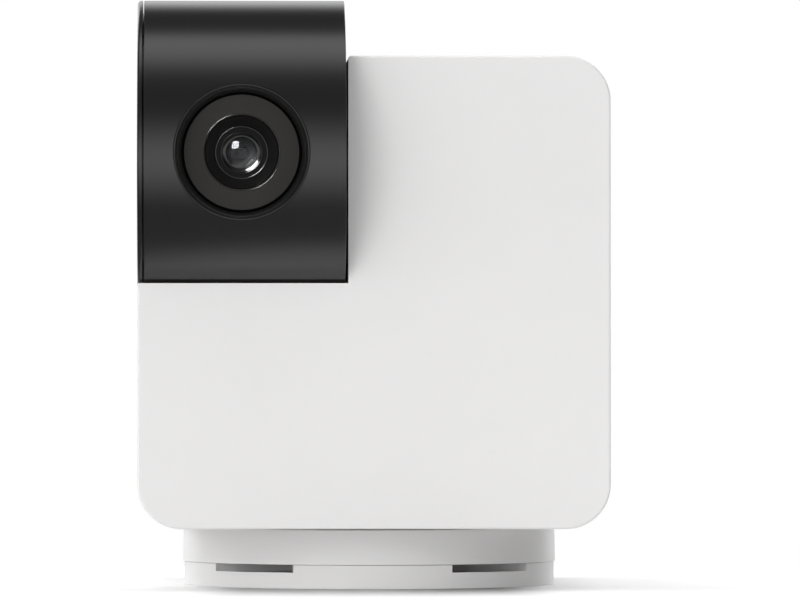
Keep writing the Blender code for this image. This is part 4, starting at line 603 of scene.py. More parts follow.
def start_group(name, inputs, *outputs):
    """An empty shader group, with the sockets of its input and output nodes."""
    tree = bpy.data.node_groups.new(name, "ShaderNodeTree")
    for way, labels in (("INPUT", inputs), ("OUTPUT", outputs)):
        for label in labels:
            kind = "NodeSocket" + SOCKET_KINDS.get(label, "Float")
            socket = tree.interface.new_socket(name=label, in_out=way, socket_type=kind)
            if way == "INPUT":
                socket.default_value = inputs[label]
    return tree, tree.nodes.new("NodeGroupInput").outputs, tree.nodes.new("NodeGroupOutput").inputs


def scaled_place(tree, size):
    """The surface's own coordinates in steps of a size."""
    place = add_node(tree, "TexCoord")["Object"]
    steps = calculate(tree, "DIVIDE", 1.0, size)
    return add_node(tree, "VectorMath", {0: place, "Scale": steps}, operation="SCALE")[0]


def build_moulding_grain():
    """Fine spark-eroded texture, as a height."""
    tree, given, result = start_group("Moulding grain", {"Size": 0.0004}, "Height")
    place = scaled_place(tree, given["Size"])
    grains = add_node(tree, "TexVoronoi", {"Vector": place, "Scale": 1.0}, feature="SMOOTH_F1")["Distance"]
    grit = noise(tree, place, 2.3, 3.0, 0.6)
    feed(tree, result["Height"], calculate(tree, "MULTIPLY_ADD", grains, 0.5, grit))


def build_moulding_flow():
    """The slow waviness of a moulded wall, as a height."""
    tree, given, result = start_group("Moulding flow", {"Size": 0.012}, "Height")
    feed(tree, result["Height"], noise(tree, scaled_place(tree, given["Size"]), 1.0, 1.0, 0.4))


def build_uneven_gloss():
    """Roughness that drifts with handling and wiping."""
    inputs = {"Roughness": 0.4, "Spread": 0.04, "Size": 0.01}
    tree, given, result = start_group("Uneven gloss", inputs, "Roughness")
    place = scaled_place(tree, given["Size"])
    clouds = noise(tree, place, 1.0, 4.0, 0.55)
    wiping = {"Vector": place, "Rotation": (0.3, 0.5, 0.7), "Scale": (0.6, 4.0, 4.0)}
    streaks = noise(tree, add_node(tree, "Mapping", wiping)[0], 1.4, 2.0)
    both = calculate(tree, "ADD", clouds, product(tree, streaks, 0.5))
    centred = calculate(tree, "SUBTRACT", both, 0.75)
    drift = calculate(tree, "MULTIPLY_ADD", centred, given["Spread"], given["Roughness"])
    feed(tree, result["Roughness"], calculate(tree, "MAXIMUM", drift, 0.02))


def build_tone_drift():
    """A colour that drifts a little over the surface, as pigment does in a moulding."""
    inputs = {"Color": (0.8, 0.8, 0.8, 1.0), "Amount": 0.02, "Size": 0.015}
    tree, given, result = start_group("Tone drift", inputs, "Color")
    clouds = noise(tree, scaled_place(tree, given["Size"]), 1.0, 3.0)
    share = rest_of(tree, product(tree, remap(tree, clouds, 0.25, 0.75), given["Amount"]))
    shaded = add_node(tree, "VectorMath", {0: given["Color"], "Scale": share}, operation="SCALE")[0]
    feed(tree, result["Color"], shaded)


def build_turning_marks():
    """Fine rings about an axis, as a lathe or a turned mould leaves them."""
    inputs = {"Centre": (0, 0, 0), "Axis": (0, 0, 1), "Pitch": 0.0002}
    tree, given, result = start_group("Turning marks", inputs, "Height")
    place = add_node(tree, "TexCoord")["Object"]
    arm = add_node(tree, "VectorMath", {0: place, 1: given["Centre"]}, operation="SUBTRACT")[0]
    across = add_node(tree, "VectorMath", {0: arm, 1: given["Axis"]}, operation="CROSS_PRODUCT")[0]
    radius = add_node(tree, "VectorMath", {0: across}, operation="LENGTH")["Value"]
    turns = calculate(tree, "DIVIDE", radius, given["Pitch"])
    feed(tree, result["Height"], calculate(tree, "SINE", product(tree, turns, 2 * math.pi)))


def build_edge_shine():
    """A mask that is bright along worn or polished edges."""
    tree, given, result = start_group("Edge shine", {"Width": 0.0002}, "Mask")
    rounded = add_node(tree, "Bevel", {"Radius": given["Width"]}, samples=4)["Normal"]
    flat = add_node(tree, "NewGeometry")["Normal"]
    agree = add_node(tree, "VectorMath", {0: rounded, 1: flat}, operation="DOT_PRODUCT")["Value"]
    feed(tree, result["Mask"], remap(tree, agree, 0.99, 0.80))


def build_drawn_lines():
    """Fine lines along one direction, as rolled or drawn metal has."""
    tree, given, result = start_group("Drawn lines", {"Size": 0.0006}, "Height")
    drawing = {"Vector": scaled_place(tree, given["Size"]), "Scale": (0.05, 1.0, 1.0)}
    feed(tree, result["Height"], noise(tree, add_node(tree, "Mapping", drawing)[0], 2.0, 5.0, 0.7))


def build_board_tracks():
    """Copper tracks and pads under solder mask, as a mask of the pads and a height."""
    tree, given, result = start_group("Board tracks", {"Size": 0.0012}, "Pads", "Height")
    place = scaled_place(tree, given["Size"])
    square = {"feature": "F1", "distance": "CHEBYCHEV"}
    cells = add_node(tree, "TexVoronoi", {"Vector": place, "Scale": 1.0}, **square)["Distance"]
    pads = remap(tree, cells, 0.26, 0.20)
    tracks = {"Vector": place, "Scale": 0.8, "Mortar Size": 0.06, "Mortar Smooth": 0.2}
    feed(tree, result["Pads"], pads)
    feed(tree, result["Height"], calculate(tree, "ADD", add_node(tree, "TexBrick", tracks)["Fac"], pads))


# Materials


def start_material(name, colour, roughness, **values):
    """The tree of a Principled material and its shader's inputs, with the constant values on them."""
    material = bpy.data.materials.new(name)
    material.use_nodes = True
    material.diffuse_color = (*colour, 1.0)
    tree = material.node_tree
    shader = tree.nodes["Principled BSDF"].inputs
    for label, value in {"Base Color": colour, "Roughness": roughness, **values}.items():
        feed(tree, shader[label.replace("_", " ")], value)
    return tree, shader


def use_group(tree, name, **values):
    node = tree.nodes.new("ShaderNodeGroup")
    node.node_tree = bpy.data.node_groups[name]
    for label, value in values.items():
        feed(tree, node.inputs[label], value)
    return node.outputs


def add_bump(tree, shader, height, distance):
    """Feeds a height to the shader's normal."""
    bump = add_node(tree, "Bump", {"Height": height, "Distance": distance})
    feed(tree, shader["Normal"], bump["Normal"])


def start_finish(name, colour, roughness, drift, drift_size, spread, spread_size, **values):
    """A material with drifting tone and uneven gloss, as its tree, its shader's inputs and its tone."""
    tree, shader = start_material(name, colour, roughness, **values)
    gloss = use_group(tree, "Uneven gloss", Roughness=roughness, Spread=spread, Size=spread_size)
    feed(tree, shader["Roughness"], gloss["Roughness"])
    tone = use_group(tree, "Tone drift", Color=colour, Amount=drift, Size=drift_size)["Color"]
    feed(tree, shader["Base Color"], tone)
    return tree, shader, tone


def moulded_finish(name, colour, roughness, drift, spread, grain_size, grain_depth, **values):
    """A moulded plastic or rubber with a fine grain."""
    tree, shader, _ = start_finish(name, colour, roughness, drift, 0.015, spread, 0.01, **values)
    add_bump(tree, shader, use_group(tree, "Moulding grain", Size=grain_size)["Height"], grain_depth)


def gloss_black_finish(colour, roughness):
    """High-gloss black: a slow waviness from the mould, faint wipe marks and no grain."""
    tree, shader, _ = start_finish("gloss_black", colour, roughness, 0.05, 0.015, 0.03, 0.018, IOR=1.5)
    add_bump(tree, shader, use_group(tree, "Moulding flow", Size=0.014)["Height"], 0.00001)


def barrel_finish(name, colour, roughness, pitch, depth, sheen):
    """Anodised or moulded black with turning marks about the lens's axis."""
    plain = {"IOR": 1.5, "Specular_IOR_Level": sheen}
    tree, shader, _ = start_finish(name, colour, roughness, 0.12, 0.004, 0.06, 0.003, **plain)
    marks = use_group(tree, "Turning marks", Centre=tuple(DRUM_PLACE), Axis=(0, 1, 0), Pitch=pitch)
    add_bump(tree, shader, marks["Height"], depth)


def lens_glass_finish():
    """Coated optical glass."""
    plain = {"IOR": 1.5, "Transmission_Weight": 1.0, "Specular_Tint": (0.18, 0.18, 0.19)}
    tree, shader = start_material("coated_glass", (0.96, 0.97, 0.98), 0.02, **plain)
    gloss = use_group(tree, "Uneven gloss", Roughness=0.02, Spread=0.012, Size=0.004)
    feed(tree, shader["Roughness"], gloss["Roughness"])


def metal_finish(name, colour, roughness, line_size):
    """Rolled or sintered metal, with lines along the sheet and brighter edges."""
    drifts = (0.12, 0.004, 0.12, 0.003)
    tree, shader, tone = start_finish(name, colour, roughness, *drifts, Metallic=1.0)
    shine = use_group(tree, "Edge shine", Width=0.00012)["Mask"]
    bright = tuple(min(1.0, part * 1.25) for part in colour)
    feed(tree, shader["Base Color"], mixed_colour(tree, shine, tone, bright))
    add_bump(tree, shader, use_group(tree, "Drawn lines", Size=line_size)["Height"], 0.000004)


def board_finish():
    """Green solder mask over tracks, with tinned pads."""
    drifts = (0.1, 0.006, 0.08, 0.004)
    tree, shader, tone = start_finish("circuit_board", (0.012, 0.085, 0.040), 0.35, *drifts)
    tracks = use_group(tree, "Board tracks")
    feed(tree, shader["Base Color"], mixed_colour(tree, tracks["Pads"], tone, (0.55, 0.54, 0.50)))
    feed(tree, shader["Metallic"], tracks["Pads"])
    add_bump(tree, shader, tracks["Height"], 0.00002)


class PETCAM_OT_finishes(bpy.types.Operator):
    """Build the shader groups and the materials"""

    bl_idname = "petcam.finishes"
    bl_label = "Finishes"

    def execute(self, context):
        build_moulding_grain()
        build_moulding_flow()
        build_uneven_gloss()
        build_tone_drift()
        build_turning_marks()
        build_edge_shine()
        build_drawn_lines()
        build_board_tracks()
        shell = context.scene.petcam_shell
        drum = context.scene.petcam_drum
        lens = context.scene.petcam_lens
        gloss_black_finish(drum.colour, drum.roughness)
        # Colour, roughness, pitch and depth of the turning marks, strength of the mirroring
        barrel_finish("satin_barrel", lens.barrel_colour, 0.60, 0.0003, 0.000003, 0.15)
        barrel_finish("bright_barrel", lens.barrel_colour, 0.13, 0.0002, 0.000001, 0.45)
        lens_glass_finish()
        # Colour, roughness, drift of tone, spread of gloss, size and depth of the grain
        white = (shell.colour, shell.roughness, 0.012, 0.05, 0.00022, 0.0000012)
        moulded_finish("satin_white", *white, IOR=1.48)
        mask = (lens.mask_colour, 0.62, 0.08, 0.06, 0.00016, 0.000003)
        moulded_finish("matte_mask", *mask, Specular_IOR_Level=0.15)
        moulded_finish("satin_black", (0.014, 0.014, 0.014), 0.42, 0.1, 0.08, 0.0002, 0.000003)
        moulded_finish("button_grey", (0.42, 0.42, 0.42), 0.45, 0.04, 0.06, 0.0002, 0.000002)
        moulded_finish("soft_rubber", (0.022, 0.022, 0.022), 0.78, 0.15, 0.1, 0.0003, 0.00002)
        moulded_finish("nylon", (0.74, 0.72, 0.66), 0.42, 0.05, 0.08, 0.0005, 0.000006)
        # Colour, roughness, size of the drawn lines
        metal_finish("steel", (0.56, 0.56, 0.57), 0.30, 0.0006)
        metal_finish("bronze", (0.62, 0.40, 0.20), 0.38, 0.0003)
        board_finish()
        return {"FINISHED"}


# The parts that keep the frame's own shape

SLOT_FINISHES = {
    "white_shell": "satin_white",
    "gloss_black": "gloss_black",
    "mask_grey": "matte_mask",
    "lens_glass": "coated_glass",
    "black_plastic": "satin_black",
    "button_grey": "button_grey",
    "rubber_pad": "soft_rubber",
    "nylon_gear": "nylon",
    "steel": "steel",
    "bronze_bush": "bronze",
    "circuit_board": "circuit_board",
}


class PETCAM_OT_inner_parts(bpy.types.Operator):
    """Give each node that keeps the frame's own shape the finish that its slot names"""

    bl_idname = "petcam.inner_parts"
    bl_label = "Inner Parts"

    def execute(self, context):
        for part in frame["record"]["subparts"]:
            mesh = frame["nodes"][part["node"]].data
            mesh.materials.clear()
            mesh.materials.append(bpy.data.materials[SLOT_FINISHES[part["material_slot"]]])
        return {"FINISHED"}


# The head's shell and rear cover

# How deep in the front wall the gussets start, as a share of its thickness
GUSSET_ROOT = 0.8


def head_outline(shell, inset):
    radius = max(shell.corner - inset, shell.front_round)
    return rounded_rectangle(HEAD_WIDTH - 2 * inset, HEAD_HEIGHT - 2 * inset, radius)


def rounded_end(shell, plane, size, steps):
    """Sections of the head's outline as its edge rounds off towards an end face at a plane."""
    return [(head_outline(shell, size * inward), plane - size * down) for inward, down in quarter(steps)]


def overrun(shell):
    """How far a cutter stands out of what it cuts."""
    return shell.wall


def sink(shell):
    """How far a boss or a rib reaches into the wall that it joins."""
    return shell.wall / 4


def motor_boss_places(spacing, turn):
    tips = [turn + side for side in (math.pi / 2, -math.pi / 2)]
    return [(spacing / 2 * math.cos(tip), spacing / 2 * math.sin(tip)) for tip in tips]


def hooks(shell):
    """The side of the head and the height of each snap hook."""
    reach = shell.hook_spacing / 2
    return [(side, HEAD_CENTRE.z + way * reach) for side in (-1, 1) for way in (-1, 1)]


def bush_hole(name, shell, flange, start, end, place=(0, 0, 0), facing=UP):
    """The cutter for a bush's seat, from the size of the bush and the reach of its flange."""
    low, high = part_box(name)
    radius = (high.y - low.y) / 2 - flange + shell.seat
    stand = overrun(shell)
    return made(name + "_hole", cylinder(radius, start - stand, end + stand), place, facing)


def notch_round_cutter(shell, cheek, cradle_radius):
    """The outside of a fillet, along the edge where the notch's side meets the head's roof."""
    size = shell.notch_round
    outside = cheek - overrun(shell)
    above = -HEAD_HIGH.z - overrun(shell)
    outline = [(cheek + size, above), (outside, above), (outside, size - HEAD_HIGH.z)]
    outline += [(cheek + size * inward, size * down - HEAD_HIGH.z) for inward, down in quarter(12)]
    end = DRUM_PLACE.y + math.sqrt(cradle_radius**2 - (HEAD_HIGH.z - DRUM_PLACE.z) ** 2)
    return made("notch_round", prism(outline, HEAD_LOW.y - overrun(shell), end), facing=BACKWARD)


def gussets(shell, cradle_radius):
    """Ribs in the corner below the cradle, between it and the front wall."""
    wall = HEAD_LOW.y + shell.wall * GUSSET_ROOT
    middle_radius = cradle_radius + shell.cradle_wall / 2
    meeting = DRUM_PLACE.z - math.sqrt(middle_radius**2 - (wall - DRUM_PLACE.y) ** 2)
    foot = DRUM_PLACE.z - middle_radius
    outline = [(shell.gusset_drop - meeting, wall), (-foot, DRUM_PLACE.y), (-meeting, wall)]
    half = shell.gusset_wall / 2
    for side in (-1, 1):
        middle = (SLEEVE_LOW.x + SLEEVE_HIGH.x) / 2 + side * shell.gusset_spacing / 2
        yield made("gusset", prism(outline, middle - half, middle + half), facing=RIGHT)


class PETCAM_OT_front_housing(bpy.types.Operator):
    """Make the head's shell, with the cradle that the drum lies in"""

    bl_idname = "petcam.front_housing"
    bl_label = "Front Housing"

    def execute(self, context):
        shell = context.scene.petcam_shell
        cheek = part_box("tilt_bush")[0].x
        cheek_inside = cheek + shell.cradle_wall
        cradle_radius = DRUM_RADIUS + shell.drum_gap
        middle = (0, 0, HEAD_CENTRE.z)
        stand = overrun(shell)
        sections = [(head_outline(shell, 0), -HEAD_HIGH.y)]
        sections += rounded_end(shell, -HEAD_LOW.y, shell.front_round, 6)
        housing = made("front_housing_looks", lofted(sections), middle, FORWARD)
        room = prism(head_outline(shell, shell.wall), -HEAD_HIGH.y - stand, -HEAD_LOW.y - shell.wall)
        room = made("head_room", room, middle, FORWARD)
        cradle = cylinder(cradle_radius + shell.cradle_wall, HEAD_LOW.x - stand, cheek_inside, LENS_STEPS)
        cut(room, made("cradle_solid", cradle, DRUM_LINE, RIGHT))
        cut(housing, room)
        bay = cylinder(cradle_radius, HEAD_LOW.x - stand, cheek, LENS_STEPS)
        cut(housing, made("drum_bay", bay, DRUM_LINE, RIGHT))
        cut(housing, bush_hole("tilt_bush", shell, shell.tilt_flange, cheek, cheek_inside, DRUM_LINE, RIGHT))
        cut(housing, notch_round_cutter(shell, cheek, cradle_radius))
        for gusset in gussets(shell, cradle_radius):
            fuse(housing, gusset)
        for side, level in hooks(shell):
            inside = HEAD_WIDTH / 2 - shell.wall - stand
            depth = stand + shell.hook_reach + shell.seat
            middle_line = HEAD_HIGH.y - shell.hook_setback - shell.hook_thickness / 2
            half = shell.hook_length / 2 + shell.seat
            centre = (side * (inside + depth / 2), middle_line)
            pocket = block(depth, shell.hook_thickness + 2 * shell.seat, -half, half, centre)
            cut(housing, made("hook_pocket", pocket, (0, 0, level)))
        floor = HEAD_LOW.z + shell.wall
        cut(housing, bush_hole("pan_bush", shell, shell.pan_flange, HEAD_LOW.z, floor))
        pan = joint_place("pan_pinion_spin")
        tilt = joint_place("tilt_pinion_spin")
        pan_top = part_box("pan_bracket")[0].z - shell.seat
        tilt_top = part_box("tilt_bracket")[0].x - shell.seat
        drives = (
            (UP, (pan.x, pan.y, 0), math.pi, floor, pan_top),
            (RIGHT, (0, tilt.y, tilt.z), shell.tilt_turn, cheek_inside, tilt_top),
        )
        for facing, centre, turn, wall, top in drives:
            for place in motor_boss_places(shell.ear_spacing, turn):
                boss = (shell.boss_radius, wall - sink(shell), top, BOSS_STEPS)
                bore = (shell.bore_radius, top - shell.bore_depth, top + stand, BORE_STEPS)
                fuse(housing, rod("motor_boss", *boss, place, centre, facing))
                cut(housing, rod("motor_bore", *bore, place, centre, facing))
        settle(housing)
        break_edges(housing, shell.edge)
        smooth_round(housing, DRUM_LINE, cradle_radius)
        dress(housing, "satin_white", "white_shell", "head", "front_housing")
        return {"FINISHED"}


class PETCAM_OT_rear_cover(bpy.types.Operator):
    """Make the back of the head: a rounded plate with a lip, sound holes, power opening and button guide"""

    bl_idname = "petcam.rear_cover"
    bl_label = "Rear Cover"

    def execute(self, context):
        shell = context.scene.petcam_shell
        fittings = context.scene.petcam_fittings
        inner = COVER_HIGH.y - shell.plate
        rooted = inner + sink(shell)
        middle = (0, 0, HEAD_CENTRE.z)
        stand = overrun(shell)
        sections = [(head_outline(shell, 0), inner)] + rounded_end(shell, COVER_HIGH.y, shell.rear_round, 10)
        cover = made("rear_cover_looks", lofted(sections), middle, BACKWARD)
        inset = shell.wall + shell.seat
        lip_end = inner - shell.lip_depth
        lip = made("cover_lip", prism(head_outline(shell, inset), lip_end, rooted), middle, BACKWARD)
        lip_room = prism(head_outline(shell, inset + shell.lip_wall), lip_end - stand, inner)
        cut(lip, made("cover_lip_room", lip_room, middle, BACKWARD))
        fuse(cover, lip)
        lip_face = HEAD_WIDTH / 2 - inset
        root = lip_face - sink(shell)
        reach = lip_face + shell.seat + shell.hook_reach
        back = HEAD_HIGH.y - shell.hook_setback
        front = back - shell.hook_thickness
        half = shell.hook_length / 2
        for side, level in hooks(shell):
            outline = [(root, front), (lip_face, front), (reach, back), (root, back)]
            hook = prism([(side * x, y) for x, y in outline], -half, half)
            fuse(cover, made("snap_hook", hook, (0, 0, level)))
        low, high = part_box("main_board")
        across = (high.x - low.x) / 2 - fittings.board_inset
        along = (high.z - low.z) / 2 - fittings.board_inset
        board_middle = (low.z + high.z) / 2
        start = high.y + shell.seat
        for x in (-across, across):
            for level in (board_middle - along, board_middle + along):
                place = (x, HEAD_CENTRE.z - level)
                boss = (shell.boss_radius, start, rooted, BOSS_STEPS)
                bore = (shell.bore_radius, start - stand, low.y + shell.bore_depth, BORE_STEPS)
                fuse(cover, rod("board_boss", *boss, place, middle, BACKWARD))
                cut(cover, rod("board_bore", *bore, place, middle, BACKWARD))
        microphone_low, microphone_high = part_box("microphone")
        microphone_radius = (microphone_high.x - microphone_low.x) / 2
        guide = (fittings.guide_wall, fittings.guide_depth)
        rings = (
            ("speaker", fittings.speaker_radius, fittings.rib_wall, fittings.rib_depth),
            ("reset_button", fittings.flange_radius, *guide),
            ("microphone", microphone_radius, *guide),
        )
        for node, radius, wall, depth in rings:
            inside = radius + shell.seat
            outside = inside + wall
            end = inner - depth
            ring = turned([(inside, end), (outside, end), (outside, rooted), (inside, rooted)], HOLE_STEPS)
            fuse(cover, made("rib", ring, level_with(node), BACKWARD))
        span = (inner - stand, COVER_HIGH.y + stand)
        places = [(0.0, 0.0)]
        for ring in range(1, fittings.rings + 1):
            places += circle(fittings.ring_pitch * ring, 6 * ring)
        sound_holes = []
        for place in places:
            hole = cylinder(fittings.hole_radius, *span, BORE_STEPS)
            bmesh.ops.translate(hole, verts=hole.verts, vec=(*place, 0))
            sound_holes.append(hole)
        low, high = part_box("power_socket")
        opening = stadium(high.x - low.x + 2 * shell.seat, high.z - low.z + 2 * shell.seat)
        button_hole = cylinder(fittings.button_radius + shell.seat, *span, PILLAR_STEPS)
        microphone_hole = cylinder(fittings.microphone_hole, *span, BORE_STEPS)
        cut(cover, made("sound_holes", gathered(sound_holes), level_with("speaker"), BACKWARD))
        cut(cover, made("power_opening", prism(opening, *span), level_with("power_socket"), BACKWARD))
        cut(cover, made("button_hole", button_hole, level_with("reset_button"), BACKWARD))
        cut(cover, made("microphone_opening", microphone_hole, level_with("microphone"), BACKWARD))
        settle(cover)
        break_edges(cover, shell.edge)
        dress(cover, "satin_white", "white_shell", "head", "rear_cover")
        return {"FINISHED"}


# The drum


class PETCAM_OT_drum_sleeve(bpy.types.Operator):
    """Make the drum's gloss black tube, with the lens hole in front"""

    bl_idname = "petcam.drum_sleeve"
    bl_label = "Drum Sleeve"

    def execute(self, context):
        drum = context.scene.petcam_drum
        bore = DRUM_RADIUS - drum.wall
        start, end = SLEEVE_LOW.x, SLEEVE_HIGH.x
        tube = [(bore, start), (DRUM_RADIUS, start), (DRUM_RADIUS, end), (bore, end)]
        profile = eased(tube, drum.tube_edge)
        sleeve = made("drum_sleeve_looks", turned(profile, SHELL_STEPS), DRUM_LINE, RIGHT)
        hole = cylinder(drum.hole_radius, DRUM_RADIUS / 2, DRUM_RADIUS + drum.wall, LENS_STEPS)
        cut(sleeve, made("lens_hole", hole, DRUM_PLACE, FORWARD))
        settle(sleeve)
        break_edges(sleeve, drum.hole_round, limit=40)
        smooth_round(sleeve, DRUM_LINE, DRUM_RADIUS)
        dress(sleeve, "gloss_black", "gloss_black", "drum", "drum_sleeve")
        return {"FINISHED"}


class PETCAM_OT_end_cap(bpy.types.Operator):
    """Make the drum's left end: a disc with a rounded rim and a spigot"""

    bl_idname = "petcam.end_cap"
    bl_label = "Drum End Cap"

    def execute(self, context):
        drum = context.scene.petcam_drum
        outside = -CAP_LOW.x
        inside = outside - drum.cap_thickness
        spigot_end = -CAP_HIGH.x
        spigot = DRUM_RADIUS - drum.wall - drum.spigot_gap
        within = spigot - drum.spigot_wall
        seat = inside - drum.seam
        face = DRUM_RADIUS - drum.dish_inset
        dish = outside - drum.dish_depth
        size = drum.cap_round
        profile = [(0, seat), (within, seat), (within, spigot_end), (spigot, spigot_end), (spigot, inside)]
        profile.append((DRUM_RADIUS, inside))
        profile += [(DRUM_RADIUS - size * inward, outside - size * down) for inward, down in quarter(12)]
        profile += [(face, outside), (face - drum.dish_depth, dish), (0, dish)]
        dressing = ("gloss_black", "gloss_black", "drum", "drum_end_cap")
        turned_piece("drum_end_cap_looks", profile, drum.seam / 3, SHELL_STEPS, DRUM_LINE, LEFT, *dressing)
        return {"FINISHED"}


# The lens

# Straight parts of the curve that the retainer's lip follows
LIP_PARTS = 8


def lens_piece(name, profile, edge, finish, slot, *nodes, steps=LENS_STEPS):
    turned_piece(name, profile, edge, steps, DRUM_PLACE, FORWARD, finish, slot, "drum", *nodes)


def lens_line(name, profile, edge):
    """A polished edge of the mask or the barrel. It is a detail, so it stands for no node."""
    lens_piece(name, profile, edge, "bright_barrel", "black_plastic")


def thread(radius, start, end, pitch):
    """The section of a fine thread, as a row of shallow teeth."""
    points = []
    for turn in range(int((end - start) / pitch)):
        height = start + turn * pitch
        points += [(radius, height), (radius - pitch / 2, height + pitch / 2)]
    return points + [(radius, end)]


def bead(outer, base, radius):
    """Half a circle that stands on a turned profile, from its outer side to its inner side."""
    half = BEAD_STEPS // 2
    angles = [math.pi * step / half for step in range(half + 1)]
    return [(outer - radius + radius * math.cos(tip), base + radius * math.sin(tip)) for tip in angles]


class PETCAM_OT_lens_rings(bpy.types.Operator):
    """Make the bezel, the matte mask, the barrel and the ring that holds the front element"""

    bl_idname = "petcam.lens_rings"
    bl_label = "Lens Rings"

    def execute(self, context):
        lens = context.scene.petcam_lens
        drum = context.scene.petcam_drum
        gap = lens.gap
        outer = drum.hole_radius - drum.hole_gap
        inner = outer - lens.bezel_rim
        mask_rear = lens.mask_front - lens.mask_thickness
        mask_outer = inner - lens.mask_gap

        front = lens.bezel_front
        rear = front - lens.bezel_depth
        bore = inner - lens.bezel_ledge
        flange = outer + lens.bezel_flange
        flange_top = rear + lens.flange_thickness
        second = outer - lens.bezel_step
        groove = front - lens.bezel_groove
        ledge = mask_rear - gap
        bezel = [(bore, rear), (flange, rear), (flange, flange_top), (outer, flange_top), (outer, front)]
        bezel += [(outer - lens.bezel_line, front), (second + lens.bezel_edge, groove), (second, groove)]
        bezel += [(second, front - lens.bezel_fall), (second - lens.bezel_line, front)]
        bezel += [(inner, front - lens.bezel_slope), (inner, ledge - lens.bezel_gutter)]
        bezel += [(mask_outer, ledge), (bore, ledge)]
        lens_piece("lens_bezel_looks", bezel, lens.bezel_edge, "gloss_black", "gloss_black", "lens_bezel")

        chamfer = lens.aperture_edge
        mask = [(lens.aperture, mask_rear), (mask_outer, mask_rear), (mask_outer, lens.mask_front)]
        mask += [(lens.aperture + chamfer, lens.mask_front), (lens.aperture, lens.mask_front - chamfer)]
        lens_piece("lens_mask_looks", mask, chamfer / 3, "matte_mask", "mask_grey", "lens_mask")

        low = lens.seat_place + 2 * gap + lens.element_edge
        top = low + lens.retainer_thickness
        width = 2 * lens.bead
        end = top + width
        barrel = [(lens.barrel_bore, lens.barrel_rear), (lens.barrel_radius, lens.barrel_rear)]
        barrel += thread(lens.barrel_radius, lens.barrel_rear + gap, lens.barrel_shoulder, lens.thread_pitch)
        barrel += [(lens.neck_radius, lens.barrel_shoulder), (lens.neck_radius, lens.barrel_front - gap)]
        barrel += [(lens.neck_radius - gap / 10, lens.barrel_front)]
        barrel += [(lens.funnel, end), (lens.seat_radius, end), (lens.seat_radius, lens.seat_place)]
        barrel += [(lens.barrel_bore, lens.seat_place)]
        lens_piece("lens_barrel_looks", barrel, gap / 5, "satin_barrel", "black_plastic", "lens_barrel")

        edge = lens.bead / 4
        rim = lens.aperture + chamfer + 2 * lens.aperture_bead
        line = [(lens.aperture + chamfer, mask_rear), (rim, mask_rear)]
        lens_line("aperture_line", line + bead(rim, lens.mask_front, lens.aperture_bead), edge)

        inside = lens.dome_radius + gap
        around = lens.seat_radius - gap
        shelf = top - width
        ring = [(inside, low), (around, low), (around, top), (inside + width, top)]
        ring += [(inside + width, shelf), (inside, shelf)]
        lens_piece("lens_retainer_looks", ring, edge, "satin_barrel", "black_plastic", "lens_retainer")
        line = [(around - width, shelf), (around, shelf), (around, top + lens.bead)]
        crown = BEAD_STEPS // 4
        lens_line("retainer_line", line + bead(around, top, lens.bead)[crown:], edge)
        lip = [(inside, shelf - width)] + bead(inside + width, shelf, lens.bead)
        for share in [part / LIP_PARTS for part in range(1, LIP_PARTS + 1)]:
            fall = lens.lip_drop * share * (2 - share)
            lip.append((inside + (lens.lip_radius - inside) * share, shelf - fall))
        lip.append((lens.lip_radius, shelf - lens.lip_drop - lens.bead))
        lens_line("retainer_lip", lip, edge)
        return {"FINISHED"}


class PETCAM_OT_lens_glass(bpy.types.Operator):
    """Make the front element, the iris plate and the rear element"""

    bl_idname = "petcam.lens_glass"
    bl_label = "Lens Glass"

    def execute(self, context):
        lens = context.scene.petcam_lens
        glass = ("coated_glass", "lens_glass")
        edge = lens.gap / 6
        rear = lens.seat_place + lens.gap
        outer = lens.seat_radius - lens.gap
        rim = rear + lens.element_edge
        front = [(0, rear), (outer, rear), (outer, rim)] + dome(lens.dome_radius, lens.dome_height, rim, 32)
        lens_piece("front_element_looks", front, edge, *glass, "front_element", steps=HOLE_STEPS)
        outer = lens.barrel_bore - lens.gap
        behind = dome(outer, lens.rear_bulge, 0, 16)
        profile = [(radius, lens.rear_place - height) for radius, height in reversed(behind)]
        profile += dome(outer, lens.rear_bulge, lens.rear_place + lens.rear_edge, 16)
        lens_piece("rear_element_looks", profile, edge, *glass, "rear_element", steps=HOLE_STEPS)
        hole, start = lens.iris_radius, lens.iris_place
        end = start + lens.iris_thickness
        slope = lens.iris_thickness / 2
        iris = [(hole, start), (outer, start), (outer, end), (hole + slope, end), (hole, end - slope)]
        black = ("satin_barrel", "black_plastic")
        lens_piece("iris_plate_looks", iris, slope / 4, *black, "iris_plate", steps=HOLE_STEPS)
        return {"FINISHED"}


# The base

# Straight parts of the curve of a slot's wall
SLOT_STEPS = 16


def screw_offset(node):
    """Where an upright screw stands, seen from above."""
    return tuple(middle_of(node).xy)


